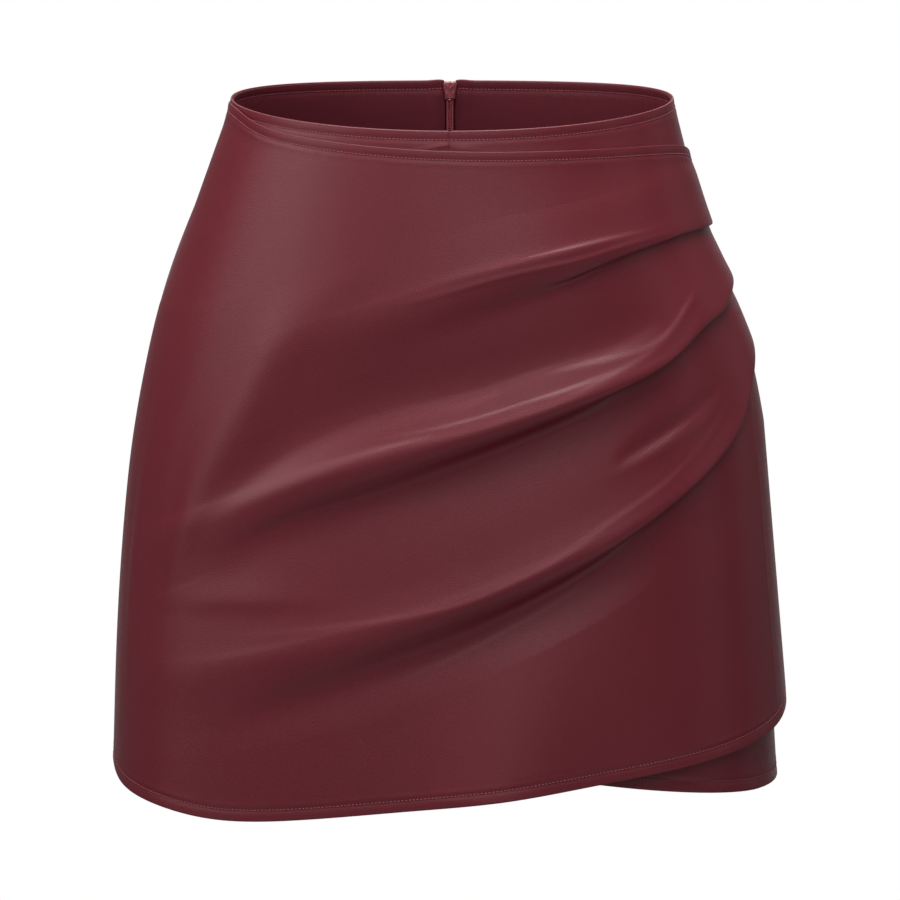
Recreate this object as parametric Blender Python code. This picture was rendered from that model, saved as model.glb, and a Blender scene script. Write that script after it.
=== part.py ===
"""Ruched wrap-front skort in smooth coated cloth: shorts with a draped panel over the front.

The garment stands hollow, as it does when it is worn. Lengths in this file are millimetres and
the meshes are made in metres. +Z is up, -Y is the front and +X is the wearer's left. The origin
is the middle of the waist opening, level with the waist at the sides.

A place on the cloth is a bearing, a drop and a stand: degrees round the body from the centre
front, positive to the wearer's left; millimetres below the origin; and millimetres out from the
outer face of the shorts.
"""

import math

import bmesh
import bpy
import numpy as np

MM = 0.001

# Cloth and seams
WALL = 1.2
DRAPE_WALL = 1.1
TRIM_WALL = 1.0
SEAM_GAP = 0.3
DRAPE_CLEAR = 0.5
SIDE_SEAM = {"left": 98.0, "right": -82.0}
SIDE_SIGN = {"left": 1.0, "right": -1.0}

# Shorts: where the body forks into legs, and where the legs end at the side seams
FORK_DROP = 185.0
CROTCH_DROP = 272.0
LEG_FORMED_DROP = 330.0
LEG_DEPTH_SHARE = {"front": 0.9, "back": 0.97}
LEG_HEM_DROP = {"left": 381.5, "right": 372.0}
LEG_HEM_RISE = 13.0
INSEAM_AT_HEM = 5.0
CROTCH_BLEND = 0.35
SIDE_HOLD = 0.75

# Waist edge, facing and zip
WAIST_DROP = {"front": 11.5, "side": 0.5, "back": -1.2}
FACING_DEPTH = 35.0
FACING_EDGE = 3.0
FACING_SPREAD = 1.8
NOTCH_DEPTH = 16.0
NOTCH_SPREAD = 3.0
TAPE_WIDTH = 9.0
TAPE_EDGE = 0.6
TAPE_SPREAD = 2.2
TAPE_END_DROP = 186.0
CHAIN_WIDTH = 3.4
CHAIN_DEPTH = 1.8
CHAIN_TOP_DROP = 9.9
CHAIN_END_DROP = 176.0
STOP_LENGTH = 3.5
STOP_WIDTH = 4.4
STOP_DEPTH = 2.3

# Looks
COATED = {"colour": (0.12, 0.02, 0.026), "roughness": 0.38, "metallic": 0.0}
COATED_INSIDE = {"colour": (0.085, 0.017, 0.024), "roughness": 0.5, "metallic": 0.0}
TAPE = {"colour": (0.10, 0.018, 0.024), "roughness": 0.85, "metallic": 0.0}
LACQUER = {"colour": (0.17, 0.035, 0.045), "roughness": 0.35, "metallic": 0.3}

# Grids of the walls
SHORTS_COLUMNS = 13
SHORTS_ROWS = {"body": 8, "fork": 7, "leg": 5}
COLUMN_POWER = 1.15
DRAPE_COLUMNS = 38
DRAPE_ROWS = 66
ZIP_ROWS = 16
ROW_SPREAD = 0.4


def table(columns, rows):
    """Rows of numbers under named columns, as a list for each column."""
    return {name: [row[i] for row in rows] for i, name in enumerate(columns.split())}


# Outer face of the shorts: how far it reaches from the origin's axis at each drop.
FORM = table("drop left right front back square", (
    (-5, 122.2, 119.6, 90.5, 91.5, 0.03),
    (0, 123.2, 120.8, 91, 92, 0.03),
    (30, 130.5, 129.3, 96, 97.5, 0.035),
    (60, 137.8, 141.2, 100.5, 105, 0.04),
    (90, 147, 153, 104, 113, 0.045),
    (120, 157.5, 162.2, 106.5, 119, 0.055),
    (150, 165, 169, 108, 122.5, 0.065),
    (190, 171.2, 176, 109.5, 123.5, 0.08),
    (230, 175, 180.4, 111, 121, 0.1),
    (270, 177.5, 183.4, 112.5, 118, 0.13),
    (310, 179.4, 185.4, 114, 115, 0.15),
    (345, 180.8, 186.5, 115, 113, 0.165),
    (395, 182.4, 188, 116, 111, 0.175),
))

# Upper edge and hem of the draped panel.
DRAPE_TOP = table("bearing drop", (
    (-82, 2.2), (-70, 5), (-55, 11.6), (-40, 16), (-20, 20), (0, 22.4),
    (27, 23), (50, 23), (66, 24), (80, 26.8), (90, 31), (98, 35),
))
DRAPE_HEM = table("bearing drop", (
    (-82, 369), (-74, 375.5), (-63, 380.5), (-50, 385), (-36, 387.5), (-20, 384),
    (0, 376.5), (26, 366), (45, 357.5), (64, 350), (80, 343), (90, 337), (98, 329),
))

# The three pleats, from the top. Each row is a place along one fold: where its edge lies, how
# deep the fold is, and how far it is folded over, from 0 for a soft wave to 1 for a pleat.
PLEATS = (
    table("bearing drop depth over", (
        (-82, 190, 0, 0), (-62, 186, 0.8, 0), (-45, 166, 2.2, 0.05), (-30, 127, 3.4, 0.12),
        (-15, 97, 4.6, 0.22), (0, 85.5, 5.8, 0.38), (20, 83.5, 8, 0.7), (35, 79.5, 9, 0.92),
        (47, 76, 8, 1), (61, 72.5, 6, 1), (75, 71.5, 4.4, 1), (90, 72, 3.5, 1), (98, 73, 3.4, 1),
    )),
    table("bearing drop depth over", (
        (-82, 258, 0, 0), (-65, 249, 2, 0.05), (-50, 236, 4.2, 0.12), (-30, 211, 6, 0.2),
        (-9, 188.5, 7.6, 0.32), (12, 167.5, 9.4, 0.56), (29, 152, 11, 0.86), (45, 138, 11, 1),
        (57, 125, 8.6, 1), (68, 115.5, 6, 1), (76, 108.8, 4.4, 1), (90, 102, 3.5, 1),
        (98, 99, 3.4, 1),
    )),
    table("bearing drop depth over", (
        (-82, 336, 0, 0), (-62, 333, 1, 0), (-47, 325, 2.4, 0.05), (-26, 299, 4, 0.12),
        (-8, 280, 5.6, 0.24), (9, 260, 7.6, 0.48), (25, 240, 9.6, 0.8), (38, 219, 10.4, 0.98),
        (47, 204, 9.4, 1), (55, 190.5, 7.6, 1), (65, 173, 5.8, 1), (74, 155.5, 4.4, 1),
        (90, 138, 3.5, 1), (98, 132, 3.4, 1),
    )),
)
PLEAT_OVERLAP = 8.5
OVERLAP_SHARE = 0.2

# Course of the cloth over one pleat, from the layer above to the layer below, in three states:
# a soft wave, a steep lip and a pressed pleat. Each state says where a point of the cloth lies:
# down from the pleat's edge, and out as a share of its depth. "above" and "below" points scale
# with the space to the next pleat on that side, "fold" points with the pleat's overlap, and
# "edge" points are millimetres.
PLEAT_COURSE = table("kind soft_down soft_out lip_down lip_out pressed_down pressed_out", (
    ("above", -0.68, 0.25, -0.68, 0.28, -0.68, 0.34),
    ("above", -0.48, 0.50, -0.48, 0.55, -0.48, 0.66),
    ("above", -0.32, 0.80, -0.31, 0.84, -0.30, 0.99),
    ("edge", -12.3, 1.05, -9.3, 1.08, -7.3, 1.07),
    ("edge", -6.3, 1.05, -2.8, 1.06, -2.3, 1.06),
    ("edge", -1.3, 0.84, 0.3, 0.82, -0.7, 0.76),
    ("fold", 0.30, 0.52, 0.10, 0.54, -0.3, 0.46),
    ("fold", 0.80, 0.28, -0.10, 0.44, -0.9, 0.50),
    ("fold", 1.10, 0.12, -0.15, 0.31, -1.55, 0.46),
    ("fold", 1.35, 0.03, 0.20, -0.02, -1.5, -0.04),
    ("edge", 12.7, 0.0, 6.7, 0.0, -7.3, 0.0),
    ("below", 0.29, 0.0, 0.17, 0.0, 0.09, 0.0),
))
ABOVE_REACH = 46.0
BELOW_REACH = 70.0
# The cloth's controls above the first pleat and below the last, as shares of the space there, and
# the spaces that the pleats next to the upper edge and the hem are measured in.
TOP_SHARES = (0.1, 0.38, 0.7)
HEM_SHARES = (0.35, 0.7, 0.95, 1.0)
TOP_MARGIN = 12.0
HEM_MARGIN = 30.0

# How far the draped panel hangs away from the shorts, by drop, and how much of that it keeps
# at each bearing: none at the side seams, where it is sewn on.
HANG = table("drop out", (
    (0, 0), (30, 0.2), (60, 0.6), (100, 1.0), (150, 2.0), (190, 3.2), (270, 4.4), (345, 5.8),
    (395, 6.2),
))
HANG_SHARE = table("bearing share", (
    (-82, 0), (-70, 0.25), (-50, 0.8), (-30, 1), (60, 1), (84, 1), (92, 0.75), (98, 0.05),
))


def smooth(xs, ys):
    """The natural cubic spline through the points (xs, ys), as a function of an array."""
    xs, ys = np.array(xs, float), np.array(ys, float)
    gap = np.diff(xs)
    slope = np.diff(ys) / gap
    system, right = np.eye(len(xs)), np.zeros(len(xs))
    for i in range(1, len(xs) - 1):
        system[i, i - 1:i + 2] = gap[i - 1], 2 * (gap[i - 1] + gap[i]), gap[i]
        right[i] = 6 * (slope[i] - slope[i - 1])
    bend = np.linalg.solve(system, right)

    def at(x):
        x = np.clip(x, xs[0], xs[-1])
        i = np.clip(np.searchsorted(xs, x) - 1, 0, len(xs) - 2)
        a = (xs[i + 1] - x) / gap[i]
        b = 1 - a
        curve = (a**3 - a) * bend[i] + (b**3 - b) * bend[i + 1]
        return a * ys[i] + b * ys[i + 1] + curve * gap[i] ** 2 / 6

    return at


def ease(x):
    """0 below 0 and 1 above 1, with a smooth step between."""
    x = np.clip(x, 0, 1)
    return x * x * (3 - 2 * x)


FORM_AT = {name: smooth(FORM["drop"], FORM[name]) for name in FORM if name != "drop"}
DRAPE_TOP_AT = smooth(DRAPE_TOP["bearing"], DRAPE_TOP["drop"])
DRAPE_HEM_AT = smooth(DRAPE_HEM["bearing"], DRAPE_HEM["drop"])
HANG_AT = smooth(HANG["drop"], HANG["out"])
HANG_SHARE_AT = smooth(HANG_SHARE["bearing"], HANG_SHARE["share"])


def waist_drop(bearing):
    """Drop of the waist edge: lowest at the centre front and highest at the centre back."""
    c = np.cos(np.radians(bearing))
    front, back, side = WAIST_DROP["front"], WAIST_DROP["back"], WAIST_DROP["side"]
    return side + (front - back) / 2 * c + ((front + back) / 2 - side) * c * c


def oval(bearing, wide, deep, square):
    """Offsets across and forward on an oval that is a little squarer than an ellipse."""
    s, c = np.sin(np.radians(bearing)), np.cos(np.radians(bearing))
    return wide * s * (1 + square * c * c), deep * c * (1 + square * s * s)


def form_reach(bearing, drop):
    """How far the form reaches sideways and forward or back, near that bearing."""
    at = {name: curve(drop) for name, curve in FORM_AT.items()}
    s, c = np.sin(np.radians(bearing)), np.cos(np.radians(bearing))
    wide = (at["left"] + at["right"]) / 2 + (at["left"] - at["right"]) / 2 * s
    deep = (at["front"] + at["back"]) / 2 + (at["front"] - at["back"]) / 2 * c
    return wide, deep, at["square"]


def form_point(bearing, drop):
    """A point on the outer face of the form, as an array of x, y, z."""
    bearing, drop = np.broadcast_arrays(np.asarray(bearing, float), np.asarray(drop, float))
    x, forward = oval(bearing, *form_reach(bearing, drop))
    return np.stack([x, -forward, -drop], axis=-1)


def normals(points, outward):
    """Unit normals of a grid of points, turned so that they point the way outward does on the whole."""
    n = np.cross(np.gradient(points, axis=1), np.gradient(points, axis=0))
    n /= np.linalg.norm(n, axis=-1, keepdims=True)
    return n if (n * outward).sum() > 0 else -n


def form_normal(bearing, drop):
    """The form's outward normal, from points a little to each side."""
    step = 0.5
    across = form_point(bearing + step, drop) - form_point(bearing - step, drop)
    down = form_point(bearing, drop + step) - form_point(bearing, drop - step)
    n = np.cross(down, across)
    return n / np.linalg.norm(n, axis=-1, keepdims=True)


def cloth_point(bearing, drop, stand):
    """A point that stands off the form by that much."""
    return form_point(bearing, drop) + form_normal(bearing, drop) * np.asarray(stand)[..., None]


def material(name, look):
    """A material of the object's own."""
    made = bpy.data.materials.new(name)
    made.use_nodes = True
    shader = made.node_tree.nodes["Principled BSDF"]
    shader.inputs["Base Color"].default_value = (*look["colour"], 1)
    shader.inputs["Roughness"].default_value = look["roughness"]
    shader.inputs["Metallic"].default_value = look["metallic"]
    return made


def add_object(name, vertices, faces, look):
    """One named object, from vertices in millimetres."""
    mesh = bpy.data.meshes.new(name)
    mesh.from_pydata([tuple(v) for v in np.asarray(vertices, float) * MM], [], faces)
    mesh.materials.append(material(name, look))
    work = bmesh.new()
    work.from_mesh(mesh)
    bmesh.ops.recalc_face_normals(work, faces=work.faces)
    work.to_mesh(mesh)
    work.free()
    mesh.shade_smooth()
    mesh.set_sharp_from_angle(angle=math.radians(50))
    made = bpy.data.objects.new(name, mesh)
    bpy.context.scene.collection.objects.link(made)
    return made


def add_wall(name, front, back, look):
    """A closed wall between two grids of points that match row by row."""
    rows, columns = front.shape[:2]
    count = rows * columns
    at = np.arange(count).reshape(rows, columns)
    faces = []
    for i in range(rows - 1):
        for j in range(columns - 1):
            a, b, c, d = at[i, j], at[i, j + 1], at[i + 1, j + 1], at[i + 1, j]
            faces += [(a, d, c, b), (a + count, b + count, c + count, d + count)]
    rim = [*at[0, :], *at[1:, -1], *at[-1, -2::-1], *at[-2:0:-1, 0]]
    for a, b in zip(rim, rim[1:] + rim[:1]):
        faces.append((a, b, b + count, a + count))
    vertices = np.concatenate([front.reshape(-1, 3), back.reshape(-1, 3)])
    return add_object(name, vertices, [tuple(int(v) for v in f) for f in faces], look)


# ---------------------------------------------------------------- shorts

def notch_half_width(drop, at_top, below):
    """Half the gap between two edges that meet at the centre back and spread at the waist."""
    depth = drop - WAIST_DROP["back"]
    return below + (at_top - below) * (1 - ease(depth / NOTCH_DEPTH))


def fork_share(across, drop):
    """0 where the shorts are still one tube, 1 where each side is a leg.

    The centre edge follows the curve of the crotch seam. Further round the leg it forms later.
    """
    q = np.clip((drop - FORK_DROP) / (CROTCH_DROP - FORK_DROP), 0, 1)
    seam = 1 - np.sqrt(1 - q * q)
    late = ease((drop - FORK_DROP) / (LEG_FORMED_DROP - FORK_DROP))
    share = ease(across / CROTCH_BLEND)
    return seam * (1 - share) + late * share


def leg_bearing(side, face, across):
    """Degrees round one leg, from its inseam through the front or the back to the side seam."""
    start = -90 * SIDE_SIGN[side] if face == "front" else 270 * SIDE_SIGN[side]
    return start + across * (SIDE_SEAM[side] - start)


def leg_hem_drop(side, face, across):
    """The leg's hem is lowest at the side seam and rises towards the inseam."""
    outer = np.sin(np.radians(leg_bearing(side, face, across) * SIDE_SIGN[side]))
    return LEG_HEM_DROP[side] - LEG_HEM_RISE * (1 - outer)


def shorts_point(side, face, across, drop):
    """A point on one quarter of the shorts. across is 0 at its centre edge, 1 at its side seam."""
    sign = SIDE_SIGN[side]
    centre = 0 if face == "front" else 180 * sign
    bearing = centre + across * (SIDE_SEAM[side] - centre)
    body = form_point(bearing, drop)
    turn = leg_bearing(side, face, across)
    reach = FORM_AT[side](drop)
    opened = ease((drop - CROTCH_DROP) / (LEG_HEM_DROP[side] - CROTCH_DROP))
    inseam = SEAM_GAP / 2 + (INSEAM_AT_HEM - SEAM_GAP / 2) * opened
    _, deep, square = form_reach(turn, drop)
    x, forward = oval(turn, (reach - inseam) / 2, deep * LEG_DEPTH_SHARE[face], square / 2)
    leg = np.stack([x + sign * (reach + inseam) / 2, -forward, -drop], axis=-1)
    share = fork_share(across, drop)[..., None]
    # The side seam keeps the form's own depth, so that the draped panel can meet it there.
    side_blend = ease((across - SIDE_HOLD) / (1 - SIDE_HOLD))[..., None]
    share = share * (1 - side_blend)
    return body * (1 - share) + leg * share


def shorts_normal(side, face, across, drop):
    """The outward normal there, from points a little to each side."""
    step = 0.004
    aside = shorts_point(side, face, across + step, drop)
    aside -= shorts_point(side, face, across - step, drop)
    below = shorts_point(side, face, across, drop + 100 * step)
    below -= shorts_point(side, face, across, drop - 100 * step)
    n = np.cross(below, aside) * SIDE_SIGN[side] * (1 if face == "front" else -1)
    return n / np.linalg.norm(n, axis=-1, keepdims=True)


def shorts_rows(side, face, across, rows):
    """Drops of every row of the grid, for each column."""
    centre = 0 if face == "front" else 180 * SIDE_SIGN[side]
    top = waist_drop(centre + across * (SIDE_SEAM[side] - centre))
    hem = leg_hem_drop(side, face, across)
    body = np.linspace(0, 1, rows["body"], endpoint=False)[:, None]
    turn = np.linspace(0, math.pi / 2, rows["fork"], endpoint=False)[:, None]
    leg = np.linspace(0, 1, rows["leg"])[:, None]
    return np.concatenate([
        top + (FORK_DROP - top) * body,
        FORK_DROP + (CROTCH_DROP - FORK_DROP) * np.sin(turn) + 0 * top,
        CROTCH_DROP + (hem - CROTCH_DROP) * leg,
    ])


def shorts_grid(side, face, columns, rows):
    """Points and normals of one quarter's outer face, its edges drawn in by half a seam gap."""
    across = np.linspace(0, 1, columns) ** COLUMN_POWER
    drop = shorts_rows(side, face, across, rows)
    width = np.linalg.norm(
        np.diff(shorts_point(side, face, across[None, :] + 0 * drop, drop), axis=1), axis=-1
    ).sum(axis=1)[:, None]
    edge = SEAM_GAP / 2 / width
    start = edge
    if face == "back":
        start = notch_half_width(drop[:, :1], NOTCH_SPREAD, SEAM_GAP / 2) / width
    inset = start + (1 - start - edge) * across
    return shorts_point(side, face, inset, drop), shorts_normal(side, face, inset, drop)


def keep_to_side(points, side):
    """Keeps a quarter's inner face on its own side of the centre seam."""
    sign = SIDE_SIGN[side]
    points[..., 0] = sign * np.maximum(sign * points[..., 0], SEAM_GAP / 2)
    return points


def add_shorts_panel(side, face, panel, look):
    outer, normal = panel
    inner = keep_to_side(outer - normal * WALL, side)
    return add_wall(f"shorts_{face}_{side}", outer, inner, look)


# ---------------------------------------------------------------- draped panel

def pleat_at(pleat, bearing):
    """Where a pleat's edge lies at those bearings, how deep it is and how far it is folded over."""
    found = {
        name: smooth(pleat["bearing"], pleat[name])(bearing) for name in ("drop", "depth", "over")
    }
    found["depth"] = np.maximum(found["depth"], 0)
    found["over"] = np.clip(found["over"], 0, 1)
    return found


def drape_course(bearing):
    """The cloth's course from the upper edge to the hem: rows of (drop, out) for each bearing.

    out is the part of the stand that comes from the folds.
    """
    top, hem = DRAPE_TOP_AT(bearing), DRAPE_HEM_AT(bearing)
    pleats = [pleat_at(pleat, bearing) for pleat in PLEATS]
    edges = [top - TOP_MARGIN, *(p["drop"] for p in pleats), hem + HEM_MARGIN]
    zero = np.zeros_like(bearing)
    first = pleats[0]["drop"] + PLEAT_COURSE["soft_down"][0] * ABOVE_REACH
    rows = [(top, zero)]
    for share in TOP_SHARES:
        rows.append((top + share * (first - top), zero))
    for n, pleat in enumerate(pleats, start=1):
        above = np.minimum(edges[n] - edges[n - 1], ABOVE_REACH)
        below = np.minimum(edges[n + 1] - edges[n], BELOW_REACH)
        unit = {"above": above, "below": below}
        unit["edge"] = np.minimum(above, np.minimum(below, ABOVE_REACH)) / ABOVE_REACH
        unit["fold"] = np.minimum(PLEAT_OVERLAP, OVERLAP_SHARE * np.minimum(above, below))
        soft = np.clip(1 - 2 * pleat["over"], 0, 1)
        pressed = np.clip(2 * pleat["over"] - 1, 0, 1)
        lip = 1 - soft - pressed
        for kind, *course in zip(*PLEAT_COURSE.values()):
            down = soft * course[0] + lip * course[2] + pressed * course[4]
            out = soft * course[1] + lip * course[3] + pressed * course[5]
            rows.append((pleat["drop"] + down * unit[kind], pleat["depth"] * out))
    last = rows[-1][0]
    for share in HEM_SHARES:
        rows.append((last + (hem - last) * share, zero))
    return np.array([r[0] for r in rows]), np.array([r[1] for r in rows])


def spline_weights(controls, places):
    """Weights of a uniform cubic B-spline that starts and ends on its first and last controls.

    places run from 0 at the first control to 1 at the last.
    """
    spans = controls - 1
    weights = np.zeros((len(places), controls + 2))
    for i, u in enumerate(places * spans):
        k = min(int(u), spans - 1)
        t = u - k
        weights[i, k:k + 4] = (
            (1 - t) ** 3 / 6,
            (3 * t**3 - 6 * t**2 + 4) / 6,
            (-3 * t**3 + 3 * t**2 + 3 * t + 1) / 6,
            t**3 / 6,
        )
    # The phantom control before the first is 2 * first - second, and likewise at the end.
    weights[:, 1] += 2 * weights[:, 0]
    weights[:, 2] -= weights[:, 0]
    weights[:, -2] += 2 * weights[:, -1]
    weights[:, -3] -= weights[:, -1]
    return weights[:, 1:-1]


def spread_rows(drops, outs, rows):
    """Places for rows along the course: close in the folds and never far apart."""
    fine = np.linspace(0, 1, 800)
    weights = spline_weights(len(drops), fine)
    step = np.hypot(np.diff(weights @ drops, axis=0), np.diff(weights @ outs, axis=0))
    load = np.concatenate([[0], np.cumsum(step.max(axis=1) ** ROW_SPREAD)])
    return np.interp(np.linspace(0, load[-1], rows), load, fine)


def drape_grid(columns, rows):
    """Points and normals of the middle of the draped panel's cloth."""
    edge = math.degrees(SEAM_GAP / 2 / FORM["left"][0])
    bearing = np.linspace(SIDE_SEAM["right"] + edge, SIDE_SEAM["left"] - edge, columns)
    # One more column past each edge gives the edges the same normals as the shorts have there.
    beyond = bearing[1] - bearing[0]
    bearing = np.concatenate([[bearing[0] - beyond], bearing, [bearing[-1] + beyond]])
    drops, outs = drape_course(bearing)
    weights = spline_weights(len(drops), spread_rows(drops, outs, rows))
    drop, out = weights @ drops, weights @ outs
    hang = HANG_AT(drop) * HANG_SHARE_AT(bearing)
    stand = DRAPE_CLEAR + DRAPE_WALL / 2 + hang + out
    middle = cloth_point(bearing[None, :] + 0 * drop, drop, stand)
    normal = normals(middle, middle * np.array([1, 1, 0]))
    return middle[:, 1:-1], normal[:, 1:-1]


def add_drape(look):
    middle, normal = drape_grid(DRAPE_COLUMNS, DRAPE_ROWS)
    half = normal * DRAPE_WALL / 2
    return add_wall("front_drape", middle + half, middle - half, look)


# ---------------------------------------------------------------- waist facing and zip

def between(grid, row, column):
    """Points of a grid at fractional rows and columns."""
    row, column = np.broadcast_arrays(np.asarray(row, float), np.asarray(column, float))
    i = np.clip(row.astype(int), 0, grid.shape[0] - 2)
    j = np.clip(column.astype(int), 0, grid.shape[1] - 2)
    v, u = (row - i)[..., None], (column - j)[..., None]
    upper = grid[i, j] * (1 - u) + grid[i, j + 1] * u
    lower = grid[i + 1, j] * (1 - u) + grid[i + 1, j + 1] * u
    return upper * (1 - v) + lower * v


def inside_layer(panel, row, column, stand):
    """Points that stand in from a panel's outer face, so that they follow its own facets."""
    outer, normal = panel
    return between(outer, row, column) + between(normal, row, column) * np.asarray(stand)[..., None]


def row_at_drop(panel, drop):
    """Fractional row of a panel's centre edge at a drop."""
    line = -panel[0][:, 0, 2]
    return np.interp(drop, line, np.arange(len(line)))


def column_at_x(panel, row, x):
    """Fractional column, in the first cell of a back panel, that lies that far from the centre."""
    near = np.abs(between(panel[0], row, 0 * row)[..., 0])
    far = np.abs(between(panel[0], row, 0 * row + 1)[..., 0])
    return (x - near) / (far - near)


def facing_layers(panel, beside_zip):
    """Outer and inner grids of the facing behind one quarter, centre edge first."""
    centre = 180 if beside_zip else 0
    end = row_at_drop(panel, waist_drop(centre) + FACING_DEPTH)
    row = np.array([0, 0.5, 1, float(end)])[:, None]
    column = np.arange(SHORTS_COLUMNS, dtype=float)[None, :] + 0 * row
    stand = np.full(column.shape, -(WALL + SEAM_GAP))
    if beside_zip:
        drop = waist_drop(180) + FACING_DEPTH * row / row[-1]
        edge = notch_half_width(drop, FACING_EDGE + FACING_SPREAD, FACING_EDGE)
        column[:, 0] = column_at_x(panel, row, edge)[:, 0]
        stand[:, :2] -= TRIM_WALL + SEAM_GAP
    return tuple(inside_layer(panel, row, column, level) for level in (stand, stand - TRIM_WALL))


def add_facing_front(right, left, look):
    layers = zip(facing_layers(right, False), facing_layers(left, False))
    outer, inner = (np.concatenate([r[:, ::-1], l], axis=1) for r, l in layers)
    return add_wall("facing_front", outer, inner, look)


def add_facing_back(side, panel, look):
    outer, inner = facing_layers(panel, True)
    return add_wall(f"facing_back_{side}", outer, inner, look)


def add_zip_tape(side, panel, look):
    drop = np.linspace(waist_drop(180) + TAPE_EDGE, TAPE_END_DROP, ZIP_ROWS)[:, None]
    row = row_at_drop(panel, drop)
    near = column_at_x(panel, row, notch_half_width(drop, TAPE_SPREAD, TAPE_EDGE))
    far = column_at_x(panel, row, TAPE_WIDTH)
    column = near + (far - near) * np.linspace(0, 1, 3)[None, :]
    layers = (
        inside_layer(panel, row, column, np.full(column.shape, -(WALL + SEAM_GAP) - depth))
        for depth in (0, TRIM_WALL)
    )
    return add_wall(f"zip_tape_{side}", *layers, look)


CHAIN_STAND = -(WALL + TRIM_WALL + 2 * SEAM_GAP)


def chain_layers(panel, half_width, top_drop, end_drop, depth, rows):
    """Outer and inner grids of a strip behind the tapes, down the centre back."""
    drop = np.linspace(top_drop, end_drop, rows)[:, None]
    row = row_at_drop(panel, drop)
    x = half_width * np.linspace(-1, 1, 3)[None, :]
    layers = []
    for stand in (CHAIN_STAND, CHAIN_STAND - depth):
        line = inside_layer(panel, row + 0 * x, 0 * x, np.full((rows, 3), stand))
        line[..., 0] = x
        layers.append(line)
    return layers


def add_zip_chain(panel, look):
    layers = chain_layers(
        panel, CHAIN_WIDTH / 2, CHAIN_TOP_DROP, CHAIN_END_DROP, CHAIN_DEPTH, ZIP_ROWS,
    )
    return add_wall("zip_chain", *layers, look)


def add_zip_stop(panel, look):
    start = CHAIN_END_DROP + SEAM_GAP
    layers = chain_layers(panel, STOP_WIDTH / 2, start, start + STOP_LENGTH, STOP_DEPTH, 2)
    return add_wall("zip_stop", *layers, look)


# The slider and its tab are drawn in the plane of the centre back: "out" is away from the
# shell's outer face, and "down" runs along it.
ZIP_TOP_DROP = WAIST_DROP["back"]
ZIP_SLOPE_END = 24.0
SLIDER_LENGTH = 10.6
SLIDER_HALF_WIDTH = 3.5
SLIDER_MOUTH_HALF = 2.95
SLIDER_DEPTH = 2.8
SHOULDER = {"across": 2.0, "down": 2.3, "radius": 1.75}
SLIDER_OUT = CHAIN_STAND - TRIM_WALL - SEAM_GAP
NECK_HALF = 0.7
NECK = {"top": 4.4, "bottom": 8.4}
CROWN = {"low": 0.5, "high": 3.7, "top": 2.4, "bottom": 10.4, "band": 0.9}
PULL_BAR = 0.5
PULL_OUT = 2.15
PULL_DOWN = CROWN["bottom"] - 2.0
PULL_HOLE = 2.95
PULL_LENGTH = 22.0
PULL_HALF_WIDTH = 2.9
PULL_NECK_HALF = 1.9
PULL_NECK_END = 5.0
PULL_HOLE_PLAY = 0.35
PULL_THICK = 1.0
PULL_LEAN = 2.7


def zip_axes():
    """Origin at the waist edge of the centre back, and unit vectors out and down along it."""
    origin = form_point(180, ZIP_TOP_DROP)
    down = form_point(180, ZIP_SLOPE_END) - origin
    down /= np.linalg.norm(down)
    out = np.array([0, -down[2], down[1]])
    return origin, out, down


def zip_place(points):
    """Points given as (across, out, down), in the row frame."""
    origin, out, down = zip_axes()
    points = np.asarray(points, float)
    return origin + points[:, :1] * np.array([1, 0, 0]) + points[:, 1:2] * out + points[:, 2:] * down


def prism(outline, low, high, axis):
    """Vertices and faces of an outline pushed from low to high along one of across, out, down."""
    n = len(outline)
    ends = [[np.insert(p, axis, level) for p in outline] for level in (low, high)]
    faces = [tuple(range(n)), tuple(range(2 * n - 1, n - 1, -1))]
    faces += [(i, i + n, (i + 1) % n + n, (i + 1) % n) for i in range(n)]
    return np.array(ends[0] + ends[1]), faces


def add_helper(name, vertices, faces, look):
    """A solid that another one is joined with or cut by."""
    made = add_object(name, vertices, faces, look)
    made.hide_render = True
    made.display_type = "WIRE"
    return made


def boolean(target, other, operation):
    step = target.modifiers.new(other.name, "BOOLEAN")
    step.operation = operation
    step.object = other


def arc(centre, radius, start, end, count):
    angles = np.radians(np.linspace(start, end, count))
    return [(centre[0] + radius * math.cos(a), centre[1] + radius * math.sin(a)) for a in angles]


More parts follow.
